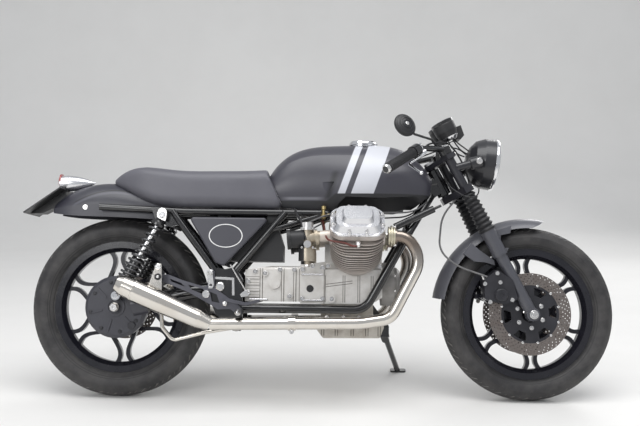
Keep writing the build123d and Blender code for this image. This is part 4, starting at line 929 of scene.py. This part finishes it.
CLEVIS = [(331, 462), (349, 466), (352, 450), (357, 412), (352, 398), (338, 398), (336, 430), (330, 448)]
PIVOT_FRAME = [(346, 441), (428, 437), (430, 374), (421, 374), (420, 429), (347, 432)]
BELL_CRANK = [(466, 392), (482, 396), (489, 384), (478, 372), (456, 368), (450, 378)]
BRAKE_PEDAL = [(392, 360), (404, 352), (470, 338), (520, 352), (522, 362), (470, 350), (408, 364)]
peg_ribs = [(11, 0)]
for rib in range(12):
    at = 3 + 6 * rib
    peg_ribs += [(13.5, at), (13.5, at + 3), (12, at + 4), (12, at + 5.5)]
peg_ribs.append((11, 78))
turned_pair("rearset_fixings", (
    (((14, 0), (14, 5), (12, 7), (5, 7), (5, 5), (0, 5)), (329, 142, 378), LEFT, 24),
    (((10, 0), (10, 8), (7, 10), (0, 10)), (345, 147, 455), LEFT, 6),
    (((9, 0), (9, 8), (7, 9), (0, 9)), (398, 142, 345), LEFT, 6),
    (((15.5, 0), (15.5, 7), (12, 9), (12, 7), (6, 7), (6, 12), (0, 12)), (378, 134, 405), LEFT, 36),
    (((4, 0), (4, 18), (10.5, 20), (10.5, 24), (4, 34), (0, 35)), (453, 228, 316), LEFT, 24),
    (((12, -2), (12, 8), (9, 9)), (453, 143, 316), LEFT, 24),
), "chassis", "stainless", rod_steel)
turned_pair("peg_rubbers", [(peg_ribs, (453, 152, 316), LEFT, 28)], "chassis", "gaiter_rubber")
for side, outward in SIDES:
    y = outward * 143
    sheet_metal(f"clevis_bracket_{side}", [CLEVIS, circle(341, 457, 4, 10), circle(346, 410, 5, 10)],
                y, outward * 148, "chassis", "stainless", rod_steel)
    sheet_metal(f"pivot_frame_{side}", [PIVOT_FRAME], outward * 129, outward * 133, "chassis", "stainless",
                rod_steel)
    wire(f"brake_rod_{side}", [(414, y, 484), (440, y, 442), (474, y, 386)], 3, "chassis", "stainless",
         rod_steel)
    sheet_metal(f"bell_crank_{side}", [BELL_CRANK, circle(480, 387, 3.4, 10)], outward * 138, outward * 146,
                "chassis", "stainless", rod_steel)
    sheet_metal(f"brake_pedal_{side}", [BRAKE_PEDAL], outward * 146, outward * 152, "chassis", "cast_alloy",
                rest_grey)

# Drive box: the screws of its cover and a plug
drive = bmesh.new()
for screw in range(8):
    x, z = around(0, REAR_RADIUS, 90, math.radians(45 * screw + 12))
    hex_bolt(drive, (x, -110, z), (0, -1, 0), 9, 6)
turned(drive, ((15, 0), (15, 4), (12, 6)), (60, -109, 262), (0, -1, 0), 28)
settle("drive_box_screws", drive, "chassis", "cast_black")

# Axle nuts and spindle ends
turned_pair("rear_axle_nuts", [(((15, 0), (15, 8), (12, 10), (6, 10), (6, 4), (0, 4)), (0, 136, REAR_RADIUS),
                                LEFT, 6)], "chassis", "stainless", rod_steel)
SPINDLE_END = ((16, 0), (16, 4), (14.5, 5.5), (12, 5.5), (12, 3.4), (9.5, 3.4), (9.5, 7), (8, 8.5),
               (5.6, 8.5), (5.6, 3), (0, 3))
turned_pair("front_spindle_ends", [(SPINDLE_END, (WHEELBASE, 126, FRONT_RADIUS), LEFT, 28)], "fork_body",
            "stainless", rod_steel)

# Calipers: joint bolts, a bleed screw and the piston's cover
for side, outward in SIDES:
    out = (0, outward, 0)
    face = outward * 122
    bolts = bmesh.new()
    for x, z in ((-47, 191), (-53, 157), (-44, 82), (-118, 112), (-104, 178)):
        turned(bolts, ((8, 0), (8, 5), (7, 6.5), (3.6, 6.5), (3.6, 1.5), (0, 1.5)), steer(x, face, z), out,
               20)
    turned(bolts, ((5, 0), (5, 8), (3, 9), (3, 16), (0, 16)), steer(-96, outward * 104, 192),
           (-0.5, 0, 0.86), 12)
    settle(f"caliper_bolts_{side}", bolts, "fork_body", "stainless", rod_steel)
    turned_piece(f"piston_cover_{side}", ((23, 6), (23, 9), (20, 12), (9, 12), (9, 9), (0, 9)),
                 steer(-71, face, 115), out, 36, "fork_body", "cast_black")

# Fork: top nuts, pinch bolts in both yokes, the lamp brackets' bolts, and screws in the sliders
FORK_Y = 95
FORK_WAY = (-math.sin(RAKE), 0, math.cos(RAKE))
FORK_FRONT = (math.cos(RAKE), 0, math.sin(RAKE))
FORK_BACK = (-math.cos(RAKE), 0, -math.sin(RAKE))
fork_nuts = bmesh.new()
for _, outward in SIDES:
    out = (0, outward, 0)
    turned(fork_nuts, ((14, 0), (14, 8), (12, 10), (0, 10)), steer(0, outward * FORK_Y, 684), FORK_WAY, 6)
    for yoke in (511, 647):
        hex_bolt(fork_nuts, steer(24, outward * FORK_Y, yoke), FORK_FRONT, 10, 7)
    hex_bolt(fork_nuts, steer(90, outward * 121, 580), out, 16, 9)
    hex_bolt(fork_nuts, steer(-21, outward * FORK_Y, 20), FORK_BACK, 8, 5)
    for x, z in ((14, 246), (-30, 250)):
        cap_screw(fork_nuts, steer(x, outward * 77, z), out, 4.5, 5)
turned(fork_nuts, ((19, 0), (19, 10), (16, 13), (7, 13), (7, 9), (0, 9)), steer(-60, 0, 656), FORK_WAY, 6)
settle("fork_nuts", fork_nuts, "fork_body", "stainless", rod_steel)

# Headlamp: a chrome rim and a fluted glass
LAMP_DIP = math.radians(8)
LAMP_WAY = (math.cos(LAMP_DIP), 0, -math.sin(LAMP_DIP))
lamp_face = steer(155.7, 0, 546.3)
turned_piece("lamp_rim", ((96.4, -8), (98, -6), (98.4, -1), (95.6, 4), (91, 5), (89, 3), (89, -4)), lamp_face,
             LAMP_WAY, 72, "fork_body", "chrome")
turned_piece("lamp_glass", ((90, 1), (86, 6), (70, 12), (46, 17), (22, 19.5), (0, 20)), lamp_face, LAMP_WAY,
             72, "fork_body", "chrome", lamp_glass_finish())

# Instruments: two bezels on chrome feet, their dials, and marks with a pointer on each
GAUGE_X = 48
bezels = bmesh.new()
feet = bmesh.new()
dials = bmesh.new()
marks = bmesh.new()
for gauge_y in (-46, 46):
    gauge_at = steer(GAUGE_X, gauge_y, 772)
    turned(bezels, ((42, -8), (43.5, -6), (43.5, 4), (40, 6), (38, 5), (37, 1)), gauge_at, FORK_WAY, 56)
    turned(feet, ((25, -1), (34.8, 10), (36.4, 12.5), (35, 14)), steer(GAUGE_X, gauge_y, 700.5), FORK_WAY, 48)
    turned(dials, ((38.5, 0), (38.5, 2.2), (0, 2.2)), gauge_at, FORK_WAY, 48)
    for tick in range(21):
        angle = math.radians(-135 + 270 * tick / 20)
        for dot in range(4 if tick % 2 == 0 else 2):
            x, y = around(GAUGE_X, gauge_y, 33 - dot * 2, angle)
            turned(marks, ((0.9, 0), (0.9, 0.8)), steer(x, y, 774.3), FORK_WAY, 6)
    for dot in range(12):
        turned(marks, ((1.1, 0), (1.1, 1.6)), steer(GAUGE_X - dot * 2.1, gauge_y + dot * 1.2, 774.4),
               FORK_WAY, 6)
settle("gauge_bezels", bezels, "fork_body", "matt_black", FINISHES["frame_black"])
settle("gauge_feet", feet, "fork_body", "chrome")
settle("gauge_dials", dials, "fork_body", "matt_black", dial_face)
settle("gauge_marks", marks, "fork_body", "matt_black", dial_white)

# Bars: ribbed grips, bar ends and lever clamps, each measured along the bar from its bend
BAR_BEND = (-94.7, 200, 714.5)
BAR_END = (-246.9, 330, 692.3)
GRIP_RIBS = 26
for side, outward in SIDES:
    bend, end = (Vector(steer(x, outward * y, z)) for x, y, z in (BAR_BEND, BAR_END))
    run = end - bend
    length = run.length
    rib_pitch = 0.68 * length / GRIP_RIBS
    profile = [(12, 0.24 * length), (20, 0.245 * length), (20, 0.26 * length), (17.6, 0.27 * length)]
    for rib in range(GRIP_RIBS):
        at = (0.28 + 0.68 * rib / GRIP_RIBS) * length
        profile += [(18.0, at), (18.0, at + rib_pitch * 0.55), (17.2, at + rib_pitch * 0.62),
                    (17.2, at + rib_pitch * 0.95)]
    profile += [(18.6, 0.97 * length), (18.6, 0.995 * length), (12, length)]
    turned_piece(f"grip_{side}", profile, bend, run, 32, "fork_body", "gaiter_rubber")
    turned_piece(f"bar_end_{side}", ((14, 0), (16.5, 2), (16.5, 9), (13, 14), (5, 14), (5, 11), (0, 11)), end,
                 run, 28, "fork_body", "stainless", rod_steel)
    clamp = bmesh.new()
    turned(clamp, ((17, 0.02 * length), (18, 0.03 * length), (18, 0.07 * length), (17, 0.08 * length)), bend,
           run, 28)
    cap_screw(clamp, steer(-88, outward * 196, 727), (0.4, 0, 0.9), 4, 6)
    settle(f"lever_clamp_{side}", clamp, "fork_body", "polished_alloy")

# Cables and wires that turn with the fork, each with its radius and control points from the front axle
FORK_CABLES = (
    ("clutch_cable", 2.6, ((-88, 196, 700), (-60, 168, 716), (-10, 120, 706), (60, 60, 690), (92, 24, 640),
                           (84, 8, 560), (30, 2, 492), (-30, 0, 484), (-60, 0, 494))),
    ("front_brake_line", 3.2, ((-92, -196, 702), (-66, -172, 720), (-8, -126, 708), (34, -80, 690),
                               (44, -70, 600), (30, -62, 520), (0, -58, 484), (-34, -58, 486),
                               (-42, -60, 500))),
    ("gauge_wire_right", 2.6, ((57, -45, 700), (58, -45, 679), (66, -42, 645), (82, -34, 628))),
    ("gauge_wire_middle", 2.6, ((66, -14, 704), (76, -14, 676), (90, -14, 650), (96, -14, 636))),
    ("gauge_wire_left", 2.6, ((57, 45, 700), (58, 45, 679), (66, 42, 645), (82, 34, 628))),
    ("fork_loop_wire", 2.4, ((-44, -92, 566), (-52, -118, 548), (-36, -128, 514), (-16, -130, 484),
                             (12, -128, 470), (36, -108, 478), (48, -80, 492))),
    ("damper_wire", 2.4, ((-8, -70, 650), (-24, -68, 648), (-36, -60, 634), (-38, -50, 600), (-36, -44, 560),
                          (-34, -40, 526))),
)
for name, radius, points in FORK_CABLES:
    wire(name, [steer(*point) for point in points], radius, "fork_body", "hose_rubber",
         FINISHES["gaiter_rubber"])

# Mirror: a glass that faces back past the rider's hand, its knuckle, and rings on its back
MIRROR_WAY = Vector((0.42, -0.86, 0.28)).normalized()
mirror_at = Vector(steer(-125.6, -300, 799))
turned_piece("mirror_glass", ((37.5, 0.4), (37.5, 0.8), (0, 1.4)), mirror_at, -MIRROR_WAY, 48, "fork_body",
             "chrome", mirror_glass)
turned_piece("mirror_knuckle", ((7, 20), (7, 25), (5, 27), (0, 27)), mirror_at, MIRROR_WAY, 24, "fork_body",
             "stainless", rod_steel)
backing = bmesh.new()
turned(backing, ((41.4, 5), (42.4, 7), (41.4, 9)), mirror_at, MIRROR_WAY, 56)
for ring, along in ((33, 16), (24, 20), (15, 22.4)):
    turned(backing, ((ring + 1.6, along - 2), (ring + 0.6, along + 1), (ring - 1.4, along + 1.4),
                     (ring - 1.6, along)), mirror_at, MIRROR_WAY, 48)
settle("mirror_backing", backing, "fork_body", "matt_black", lamp_enamel)

# Tank cap: a domed chrome lid on its hinge pin
lid = bmesh.new()
turned(lid, ((50, -8), (52, -6), (52, 0), (49, 5), (40, 9), (26, 12), (12, 13.4), (11, 12), (4, 12), (0, 12)),
       (892, 0, 948), (0, 0, 1), 56)
turned(lid, ((4, -12), (4, 12)), (943, 0, 946), LEFT, 16)
settle("cap_lid", lid, "chassis", "chrome")

# Tail: red lens, the fender's bolts and the plate bracket's
turned_piece("tail_lens", ((29, -5), (29, 0), (24, 4), (12, 6.5), (0, 7)), (-244, 0, 792), (-1, 0, -0.03), 40,
             "chassis", "polished_alloy", red_lens)
tail_bolts = bmesh.new()
for _, outward in SIDES:
    hex_bolt(tail_bolts, (-128, outward * 86, 690), (0, outward, 0), 12, 7)
    for x, z in ((-236, 752), (-334, 682)):
        hex_bolt(tail_bolts, (x, outward * 60, z), (-0.56, 0, 0.83), 9, 5)
settle("tail_bolts", tail_bolts, "chassis", "stainless", rod_steel)

# Side panels: a plain oval ring on each
PANEL_X = 394
PANEL_Z = 588
for side, outward in SIDES:
    sheet_metal(f"panel_ring_{side}",
                [circle(PANEL_X, PANEL_Z, 61, 48, 0.70), circle(PANEL_X, PANEL_Z, 57.5, 48, 0.69)],
                outward * 134, outward * 134.8, "chassis", "body_black", panel_white, 0.1)

# Floor, light and camera

# The floor's section, from in front of the machine to a wall behind it: y, z in metres
FLOOR_SWEEP = ((-9.0, 0.0), (4.0, 0.0), (5.0, 0.12), (5.8, 0.6), (6.2, 1.4), (6.3, 7.0))
FLOOR_HALF_WIDTH = 14.0
floor_mesh = bpy.data.meshes.new("floor")
sweep = bmesh.new()
rows = [[sweep.verts.new((x, y, z)) for x in (-FLOOR_HALF_WIDTH, FLOOR_HALF_WIDTH)] for y, z in FLOOR_SWEEP]
for low, high in zip(rows, rows[1:]):
    sweep.faces.new((low[0], low[1], high[1], high[0]))
sweep.to_mesh(floor_mesh)
sweep.free()
floor = bpy.data.objects.new("floor", floor_mesh)
scene.collection.objects.link(floor)
floor_mesh.shade_smooth()
floor_mesh.materials.append(finish("pale floor", (0.80, 0.79, 0.77), (0.74, 0.73, 0.71), 0.4, 2.0, 0.6, 0.75,
                                   bump=0.02))

world = bpy.data.worlds.new("soft studio")
scene.world = world
world.use_nodes = True
sky = world.node_tree.nodes["Background"]
sky.inputs["Color"].default_value = (0.92, 0.95, 1.0, 1.0)
sky.inputs["Strength"].default_value = 0.55


def lamp(name, at, aim, size, power):
    """A rectangular area light of two side lengths in metres, turned towards a point."""
    data = bpy.data.lights.new(name, "AREA")
    data.shape = "RECTANGLE"
    data.size, data.size_y = size
    data.energy = power
    made = bpy.data.objects.new(name, data)
    made.location = at
    made.rotation_euler = (Vector(aim) - Vector(at)).to_track_quat("-Z", "Y").to_euler()
    scene.collection.objects.link(made)


lamp("overhead", (0.0, -1.2, 4.2), (0.0, 0.0, 0.4), (5.0, 2.6), 150.0)
lamp("camera side", (-2.6, -4.6, 2.6), (0.0, 0.0, 0.5), (2.4, 2.0), 70.0)
lamp("far side", (2.8, 3.6, 2.8), (0.0, 0.0, 0.5), (2.6, 1.8), 60.0)

# The camera fitted to the photo: its place from the rear axle in metres, and how far it looks down and tilts
CAMERA_FROM_AXLE = (0.7328, -3.2695, 0.6443)
CAMERA_PITCH = 0.0872
CAMERA_ROLL = 0.0123
camera_data = bpy.data.cameras.new("camera")
camera_data.lens = 50
camera_data.sensor_width = 36
camera_data.clip_end = 100
camera = bpy.data.objects.new("camera", camera_data)
scene.collection.objects.link(camera)
ahead = Vector((0, math.cos(CAMERA_PITCH), -math.sin(CAMERA_PITCH)))
level_top = Vector((0, math.sin(CAMERA_PITCH), math.cos(CAMERA_PITCH)))
right = Vector((math.cos(CAMERA_ROLL), 0, 0)) + math.sin(CAMERA_ROLL) * level_top
top = math.cos(CAMERA_ROLL) * level_top - Vector((math.sin(CAMERA_ROLL), 0, 0))
turn = Matrix((right, top, -ahead)).transposed()
camera.matrix_world = Matrix.Translation(REAR_AXLE + Vector(CAMERA_FROM_AXLE)) @ turn.to_4x4()
scene.camera = camera
